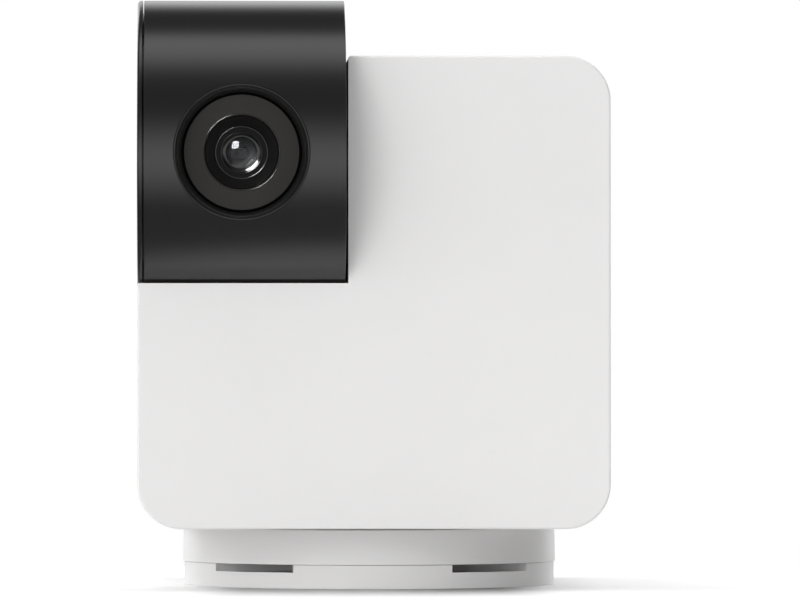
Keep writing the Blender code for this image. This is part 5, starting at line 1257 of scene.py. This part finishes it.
class PETCAM_OT_base_housing(bpy.types.Operator):
    """Make the collar, with its deck and the hollow spindle that the head turns on"""

    bl_idname = "petcam.base_housing"
    bl_label = "Base Housing"

    def execute(self, context):
        base = context.scene.petcam_base
        shell = context.scene.petcam_shell
        radius = COLLAR_HIGH.x - base.collar_flare
        within = radius - base.collar_wall
        low = COLLAR_LOW.z - (base.gap - base.seam_gap) / 2
        top = COLLAR_HIGH.z
        flange_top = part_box("pan_gear")[0].z - base.gap
        deck_top = HEAD_LOW.z - base.pan_gap
        deck_bottom = deck_top - base.deck
        ring_low, ring_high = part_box("pan_slide_ring")
        groove_outer = ring_high.x + base.gap
        groove_inner = groove_outer - base.groove_width
        groove_bottom = ring_low.z - base.gap
        spindle, neck = base.spindle_radius, base.neck_radius
        profile = [(base.bore_radius, top), (neck, top), (neck, flange_top), (spindle, flange_top)]
        profile += [(spindle, deck_top), (groove_inner, deck_top), (groove_inner, groove_bottom)]
        profile += [(groove_outer, groove_bottom), (groove_outer, deck_top), (radius, deck_top)]
        profile += [(COLLAR_HIGH.x, low), (within, low)]
        profile += [(within, deck_bottom), (base.bore_radius, deck_bottom)]
        housing = made("base_housing_looks", turned(eased(profile, base.seam_edge), SHELL_STEPS))
        key_centre = (neck + base.key_height / 2 - sink(shell) / 2, 0)
        key_size = (base.key_height + sink(shell), base.key_width)
        key = block(*key_size, flange_top - sink(shell), top, key_centre)
        fuse(housing, made("spindle_key", key))
        for number in (1, 2, 3):
            screw = f"base_screw_{number}"
            bore_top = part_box(screw)[1].z + base.gap
            boss = (base.boss_radius, base.boss_bottom, deck_bottom + sink(shell), PILLAR_STEPS)
            bore = (base.shank_radius, base.boss_bottom - shell.wall, bore_top, BOSS_STEPS)
            fuse(housing, rod("base_boss", *boss, screw_offset(screw)))
            cut(housing, rod("base_bore", *bore, screw_offset(screw)))
        bore = (shell.bore_radius, top - shell.bore_depth, top + shell.wall, BORE_STEPS)
        for number in (1, 2, 3):
            cut(housing, rod("spindle_bore", *bore, screw_offset(f"retainer_screw_{number}")))
        settle(housing)
        smooth_by_angle(housing)
        dress(housing, "satin_white", "white_shell", "base", "base_housing")
        return {"FINISHED"}


def mirrored(outline, side):
    """An outline for the right or the left side, in the same sense."""
    return [(side * across, ahead) for across, ahead in outline[::side]]


def slot_wall(base, side, within, deep, start, end):
    """The solid behind a slot, from the ring's wall to a line that is a wall's thickness behind the slot."""
    radius = within + base.slot_wall / 2
    near = base.slot_inner - base.slot_wall
    back = deep - base.slot_wall
    first = math.asin(near / radius)
    last = math.acos(back / radius)
    angles = [first + (last - first) * step / SLOT_STEPS for step in range(SLOT_STEPS + 1)]
    outline = [(near, -back)] + [(radius * math.sin(tip), -radius * math.cos(tip)) for tip in angles]
    return made("slot_wall", prism(mirrored(outline, side), start, end))


class PETCAM_OT_base_cover(bpy.types.Operator):
    """Make the lower ring: a shallow cup with two slots in its front rim"""

    bl_idname = "petcam.base_cover"
    bl_label = "Base Cover"

    def execute(self, context):
        base = context.scene.petcam_base
        shell = context.scene.petcam_shell
        recess = PAD_HIGH.x + base.gap
        radius = RING_HIGH.x
        within = radius - base.ring_wall
        bottom = PAD_LOW.z
        floor_bottom = PAD_HIGH.z + base.gap
        floor_top = floor_bottom + base.ring_floor
        top = COLLAR_LOW.z - (base.gap + base.seam_gap) / 2
        profile = [(0, floor_bottom), (recess, floor_bottom), (recess, bottom), (radius, bottom)]
        profile += [(radius, top), (within, top), (within, floor_top), (0, floor_top)]
        cover = made("base_cover_looks", turned(eased(profile, base.seam_edge), SHELL_STEPS))
        inner, outer = base.slot_inner, base.slot_outer
        front = radius + shell.wall
        back = math.sqrt(radius**2 - outer**2)
        deep = back - base.slot_ramp
        slot = [(inner, -front), (outer, -front), (outer, -back)]
        slot += [(outer - base.slot_ramp, -deep), (inner, -deep)]
        for side in (-1, 1):
            fuse(cover, slot_wall(base, side, within, deep, floor_top - base.slot_wall / 4, top))
            cut(cover, made("slot", prism(mirrored(slot, side), base.slot_floor, top + shell.wall)))
        pillar_top = base.boss_bottom - base.gap
        low = floor_bottom - shell.wall
        pillar = (base.boss_radius, floor_top - shell.seat, pillar_top, PILLAR_STEPS)
        shaft = (base.shank_radius, low, pillar_top + shell.wall, BOSS_STEPS)
        room = (base.sink_radius, low, floor_bottom + base.head_room, BOSS_STEPS)
        for number in (1, 2, 3):
            offset = screw_offset(f"base_screw_{number}")
            fuse(cover, rod("pillar", *pillar, offset))
            cut(cover, rod("shaft", *shaft, offset))
            cut(cover, rod("screw_room", *room, offset))
        settle(cover)
        break_edges(cover, shell.edge / 2, 2, 50)
        smooth_round(cover, (0, 0, 0), radius, along=2)
        dress(cover, "satin_white", "white_shell", "base", "base_cover")
        return {"FINISHED"}


class PETCAM_OT_foot_pad(bpy.types.Operator):
    """Make the rubber pad, with round grooves in its tread"""

    bl_idname = "petcam.foot_pad"
    bl_label = "Foot Pad"

    def execute(self, context):
        base = context.scene.petcam_base
        profile = [(0, 0)]
        deep = base.tread_depth
        for number in range(1, base.treads + 1):
            middle = number * base.tread_pitch
            profile += [(middle - deep, 0), (middle - deep / 2, deep)]
            profile += [(middle + deep / 2, deep), (middle + deep, 0)]
        profile += [(PAD_HIGH.x, 0), (PAD_HIGH.x, PAD_HIGH.z), (0, PAD_HIGH.z)]
        dressing = ("soft_rubber", "rubber_pad", "base", "foot_pad")
        turned_piece("foot_pad_looks", profile, base.pad_edge, LENS_STEPS, (0, 0, 0), UP, *dressing)
        return {"FINISHED"}


# Fittings on the back


class PETCAM_OT_rear_fittings(bpy.types.Operator):
    """Make the power inlet's metal mouth with its tongue, and the reset button"""

    bl_idname = "petcam.rear_fittings"
    bl_label = "Rear Fittings"

    def execute(self, context):
        shell = context.scene.petcam_shell
        fittings = context.scene.petcam_fittings
        low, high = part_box("power_socket")
        place = level_with("power_socket")
        width = high.x - low.x
        height = high.z - low.z
        mouth = made("power_socket_looks", prism(stadium(width, height), low.y, high.y), place, BACKWARD)
        walls = 2 * fittings.socket_wall
        floor = high.y - fittings.socket_depth
        room = prism(stadium(width - walls, height - walls), floor, high.y + shell.wall)
        cut(mouth, made("socket_room", room, place, BACKWARD))
        tongue = block(fittings.tongue_width, fittings.tongue_thickness, floor - shell.seat, high.y - walls)
        fuse(mouth, made("socket_tongue", tongue, place, BACKWARD))
        settle(mouth)
        break_edges(mouth, shell.edge / 2, 2)
        dress(mouth, "steel", "steel", "head", "power_socket")

        low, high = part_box("reset_button")
        stem, flange, cap = fittings.stem_radius, fittings.flange_radius, fittings.button_radius
        flange_end = COVER_HIGH.y - shell.plate - shell.seat
        flange_start = flange_end - fittings.flange_thickness
        crown = dome(cap - shell.seat, fittings.button_dish, 0, 12)
        profile = [(0, low.y), (stem, low.y), (stem, flange_start), (flange, flange_start)]
        profile += [(flange, flange_end), (cap, flange_end), (cap, high.y)]
        profile += [(radius, high.y - height) for radius, height in crown]
        dressing = (level_with("reset_button"), BACKWARD, "button_grey", "button_grey", "reset_button")
        turned_piece("reset_button_looks", profile, shell.edge, HOLE_STEPS, *dressing, "reset_button")
        return {"FINISHED"}


# Studio

# Where each soft box starts, is full, begins to fade and ends, in degrees. A height goes up from the horizon,
# an azimuth from the front towards the right, and a roll from the front over the top to the back.
SCREEN_HEIGHT = (10.0, 26.0, 38.0, 58.0)
LEFT_BOX = ((-6.0, 0.0, 18.0, 40.0), (-46.0, -36.0, -16.0, -8.0))
LEFT_WING = ((-6.0, 0.0, 20.0, 40.0), (-125.0, -100.0, -75.0, -55.0))
ZENITH_ROLL = (68.0, 86.0, 105.0, 125.0)
MIRROR_SCREEN_ROLL = (-45.0, -4.0, -4.0, 34.0)
OVERHEAD_ROLL = (56.0, 84.0, 94.0, 105.0)
BEHIND_ROLL = (133.0, 152.0, 200.0, 210.0)
WINGS_HEIGHT = (-40.0, -20.0, 30.0, 50.0)

# The pieces that the lens's lamp lights
LENS_MIRRORS = (
    "front_element_looks",
    "rear_element_looks",
    "aperture_line",
    "retainer_line",
    "retainer_lip",
)


def band(tree, value, start, rise, fall, end):
    """One between rise and fall, with soft ramps from start and to end."""
    return product(tree, remap(tree, value, start, rise), remap(tree, value, end, fall))


def scaled_sum(tree, terms, total):
    """A number and the sum of shares, each times its radiance."""
    for share, radiance in terms:
        total = calculate(tree, "MULTIPLY_ADD", share, radiance, total)
    return total


def build_studio(tree):
    """The light round the object: a white backdrop for the camera, and soft boxes for everything else."""
    tree.nodes.clear()
    direction = add_node(tree, "TexCoord")["Generated"]
    parts = add_node(tree, "SeparateXYZ", {0: direction})
    ahead = product(tree, parts["Y"], -1.0)
    roll = calculate(tree, "DEGREES", calculate(tree, "ARCTAN2", parts["Z"], ahead))
    azimuth = calculate(tree, "DEGREES", calculate(tree, "ARCTAN2", parts["X"], ahead))
    height = calculate(tree, "DEGREES", calculate(tree, "ARCSINE", parts["Z"]))
    sideways = calculate(tree, "ABSOLUTE", parts["X"])
    path = add_node(tree, "LightPath")
    narrow = remap(tree, sideways, 0.72, 0.50)
    facing = remap(tree, ahead, -0.25, 0.15)
    left = remap(tree, parts["X"], 0.5, -0.1, 0.50, 1.0)
    wings = product(tree, remap(tree, ahead, -0.62, -0.80), remap(tree, sideways, 0.25, 0.40))
    # Each soft box as the share of a direction that it fills, and its radiance
    soft_light = (
        (product(tree, band(tree, height, *SCREEN_HEIGHT), facing, left), 1.18),
        (product(tree, band(tree, height, *LEFT_BOX[0]), band(tree, azimuth, *LEFT_BOX[1])), 3.6),
        (product(tree, band(tree, height, *LEFT_WING[0]), band(tree, azimuth, *LEFT_WING[1])), 1.25),
        (product(tree, band(tree, roll, *ZENITH_ROLL), narrow), 2.5),
        (remap(tree, height, 0.0, -5.0), 0.65),
    )
    mirrored_light = (
        (product(tree, band(tree, roll, *MIRROR_SCREEN_ROLL), facing), 1.65),
        (product(tree, band(tree, roll, *OVERHEAD_ROLL), narrow), 1.95),
        (product(tree, band(tree, roll, *BEHIND_ROLL), narrow), 1.35),
        (product(tree, wings, band(tree, height, *WINGS_HEIGHT)), 1.6),
    )
    glows = {2: scaled_sum(tree, mirrored_light, 0.06), 3: scaled_sum(tree, soft_light, 0.12)}
    glow = add_node(tree, "Mix", {0: path["Is Diffuse Ray"], **glows})[0]
    white = add_node(tree, "Background", {"Color": (1, 1, 1), "Strength": 1.0})[0]
    light = add_node(tree, "Background", {"Color": (1, 1, 1), "Strength": glow})[0]
    backdrop = product(tree, remap(tree, ahead, -0.93, -0.985), rest_of(tree, path["Is Diffuse Ray"]))
    seen = calculate(tree, "MAXIMUM", path["Is Camera Ray"], backdrop)
    surface = add_node(tree, "MixShader", {0: seen, 1: light, 2: white})[0]
    feed(tree, tree.nodes.new("ShaderNodeOutputWorld").inputs["Surface"], surface)


def floor_finish(studio):
    """A pale floor with painted light and shade. Its light lifts its open parts to the backdrop's white, and
    beside the base a little more. A painted contact shadow darkens it in front of the base, and mirrors see a
    painted reflection of it that glows near the base and fades away from it.
    """
    plain = {"Specular_IOR_Level": 0.0, "Emission_Color": (1, 1, 1)}
    tree, shader = start_material("studio_floor", studio.floor_colour, 0.9, **plain)
    place = add_node(tree, "TexCoord")["Object"]
    parts = add_node(tree, "SeparateXYZ", {0: place})
    reach = add_node(tree, "VectorMath", {0: place}, operation="LENGTH")["Value"]
    path = add_node(tree, "LightPath")
    seen = calculate(tree, "ADD", path["Is Camera Ray"], path["Is Transmission Ray"])

    # The floor's colour holds a painted reflection that darkens in mirrors away from the base, and a painted
    # contact shadow to the eye where the base's front stands on it
    fade = remap(tree, reach, 0.042, 0.075)
    # Painted reflection: the floor's colour dims for gloss rays away from the base
    painted_mirror_dimming = product(tree, fade, path["Is Glossy Ray"])
    aside = remap(tree, calculate(tree, "ABSOLUTE", parts["X"]), 0.019, 0.031)
    # Strength of the painted contact shadow, greater towards the right, as if the light came from the left
    depth = remap(tree, parts["X"], -0.002, 0.014, 0.42, 0.60)
    sight = calculate(tree, "MAXIMUM", path["Is Camera Ray"], 0.4)
    # Painted contact shadow: darker near the base's front and lighter beside it, full to the eye and weaker for
    # other rays
    painted_contact_shadow = product(tree, remap(tree, reach, 0.075, 0.030), depth, rest_of(tree, aside), sight)
    share = product(tree, calculate(tree, "MULTIPLY_ADD", painted_mirror_dimming, -0.8, 1.0), rest_of(tree, painted_contact_shadow))
    colour = {0: tuple(studio.floor_colour), "Scale": share}
    feed(tree, shader["Base Color"], add_node(tree, "VectorMath", colour, operation="SCALE")[0])

    open_part = product(tree, remap(tree, reach, 0.045, 0.100), studio.floor_lift)
    # Painted light: beside the base the floor glows more to the eye, so its shadow is lighter at the sides
    painted_side_light = product(tree, aside, remap(tree, parts["Y"], -0.034, 0.004, 0.17, 0.27))
    to_camera = product(tree, seen, calculate(tree, "MAXIMUM", open_part, painted_side_light))
    # Painted reflection: the floor glows for gloss rays near the base
    near = product(tree, rest_of(tree, fade), path["Is Glossy Ray"])
    emission = calculate(tree, "MULTIPLY_ADD", near, studio.mirror_lift, to_camera)
    feed(tree, shader["Emission Strength"], emission)


def placed(scene, name, data, place, aim):
    """A camera or a lamp that looks from a place at a point."""
    obj = bpy.data.objects.new(name, data)
    scene.collection.objects.link(obj)
    obj.location = place
    obj.rotation_euler = (Vector(aim) - Vector(place)).to_track_quat("-Z", "Y").to_euler()
    return obj


class PETCAM_OT_studio(bpy.types.Operator):
    """Set the camera, the floor, the backdrop and the light"""

    bl_idname = "petcam.studio"
    bl_label = "Studio"

    def execute(self, context):
        scene = context.scene
        studio = scene.petcam_studio
        camera = bpy.data.cameras.new("camera")
        camera.lens = studio.lens
        camera.clip_start = 0.01
        camera.clip_end = 20.0
        camera.dof.use_dof = False
        scene.camera = placed(scene, "camera", camera, studio.camera_place, studio.camera_aim)

        bm = bmesh.new()
        bmesh.ops.create_circle(bm, cap_ends=True, radius=studio.floor_radius, segments=128)
        floor = made("floor", bm)
        floor_finish(studio)
        floor.data.materials.append(bpy.data.materials["studio_floor"])

        disk = bpy.data.lights.new("lens_lamp", "AREA")
        disk.shape = "DISK"
        disk.size = studio.lamp_size
        disk.energy = studio.lamp_power
        lamp = placed(scene, "lens_lamp", disk, studio.lamp_place, DRUM_PLACE)
        lamp.visible_diffuse = False
        lit = bpy.data.collections.new("lens_mirrors")
        for name in LENS_MIRRORS:
            lit.objects.link(bpy.data.objects[name])
        lamp.light_linking.receiver_collection = lit

        world = bpy.data.worlds.new("studio")
        scene.world = world
        world.use_nodes = True
        build_studio(world.node_tree)
        scene.view_settings.view_transform = "Standard"
        return {"FINISHED"}


class PETCAM_PT_panel(bpy.types.Panel):
    """Lists the steps that make the camera"""

    bl_idname = "PETCAM_PT_panel"
    bl_label = "Pet Camera"
    bl_space_type = "VIEW_3D"
    bl_region_type = "UI"
    bl_category = "Pet Camera"

    def draw(self, context):
        for step in STEPS:
            self.layout.operator(step.bl_idname)


STEPS = (
    PETCAM_OT_finishes,
    PETCAM_OT_inner_parts,
    PETCAM_OT_front_housing,
    PETCAM_OT_rear_cover,
    PETCAM_OT_drum_sleeve,
    PETCAM_OT_end_cap,
    PETCAM_OT_lens_rings,
    PETCAM_OT_lens_glass,
    PETCAM_OT_base_housing,
    PETCAM_OT_base_cover,
    PETCAM_OT_foot_pad,
    PETCAM_OT_rear_fittings,
    PETCAM_OT_studio,
)

SETTINGS = {
    "petcam_shell": ShellSettings,
    "petcam_drum": DrumSettings,
    "petcam_lens": LensSettings,
    "petcam_base": BaseSettings,
    "petcam_fittings": FittingSettings,
    "petcam_studio": StudioSettings,
}


def register():
    for kind in (*SETTINGS.values(), *STEPS, PETCAM_PT_panel):
        bpy.utils.register_class(kind)
    for name, settings in SETTINGS.items():
        setattr(bpy.types.Scene, name, PointerProperty(type=settings))


def unregister():
    for name in SETTINGS:
        delattr(bpy.types.Scene, name)
    for kind in (PETCAM_PT_panel, *reversed(STEPS), *reversed(SETTINGS.values())):
        bpy.utils.unregister_class(kind)


def main():
    register()
    bpy.ops.petcam.finishes()
    bpy.ops.petcam.inner_parts()
    bpy.ops.petcam.front_housing()
    bpy.ops.petcam.rear_cover()
    bpy.ops.petcam.drum_sleeve()
    bpy.ops.petcam.end_cap()
    bpy.ops.petcam.lens_rings()
    bpy.ops.petcam.lens_glass()
    bpy.ops.petcam.base_housing()
    bpy.ops.petcam.base_cover()
    bpy.ops.petcam.foot_pad()
    bpy.ops.petcam.rear_fittings()
    bpy.ops.petcam.studio()


if __name__ == "__main__":
    main()
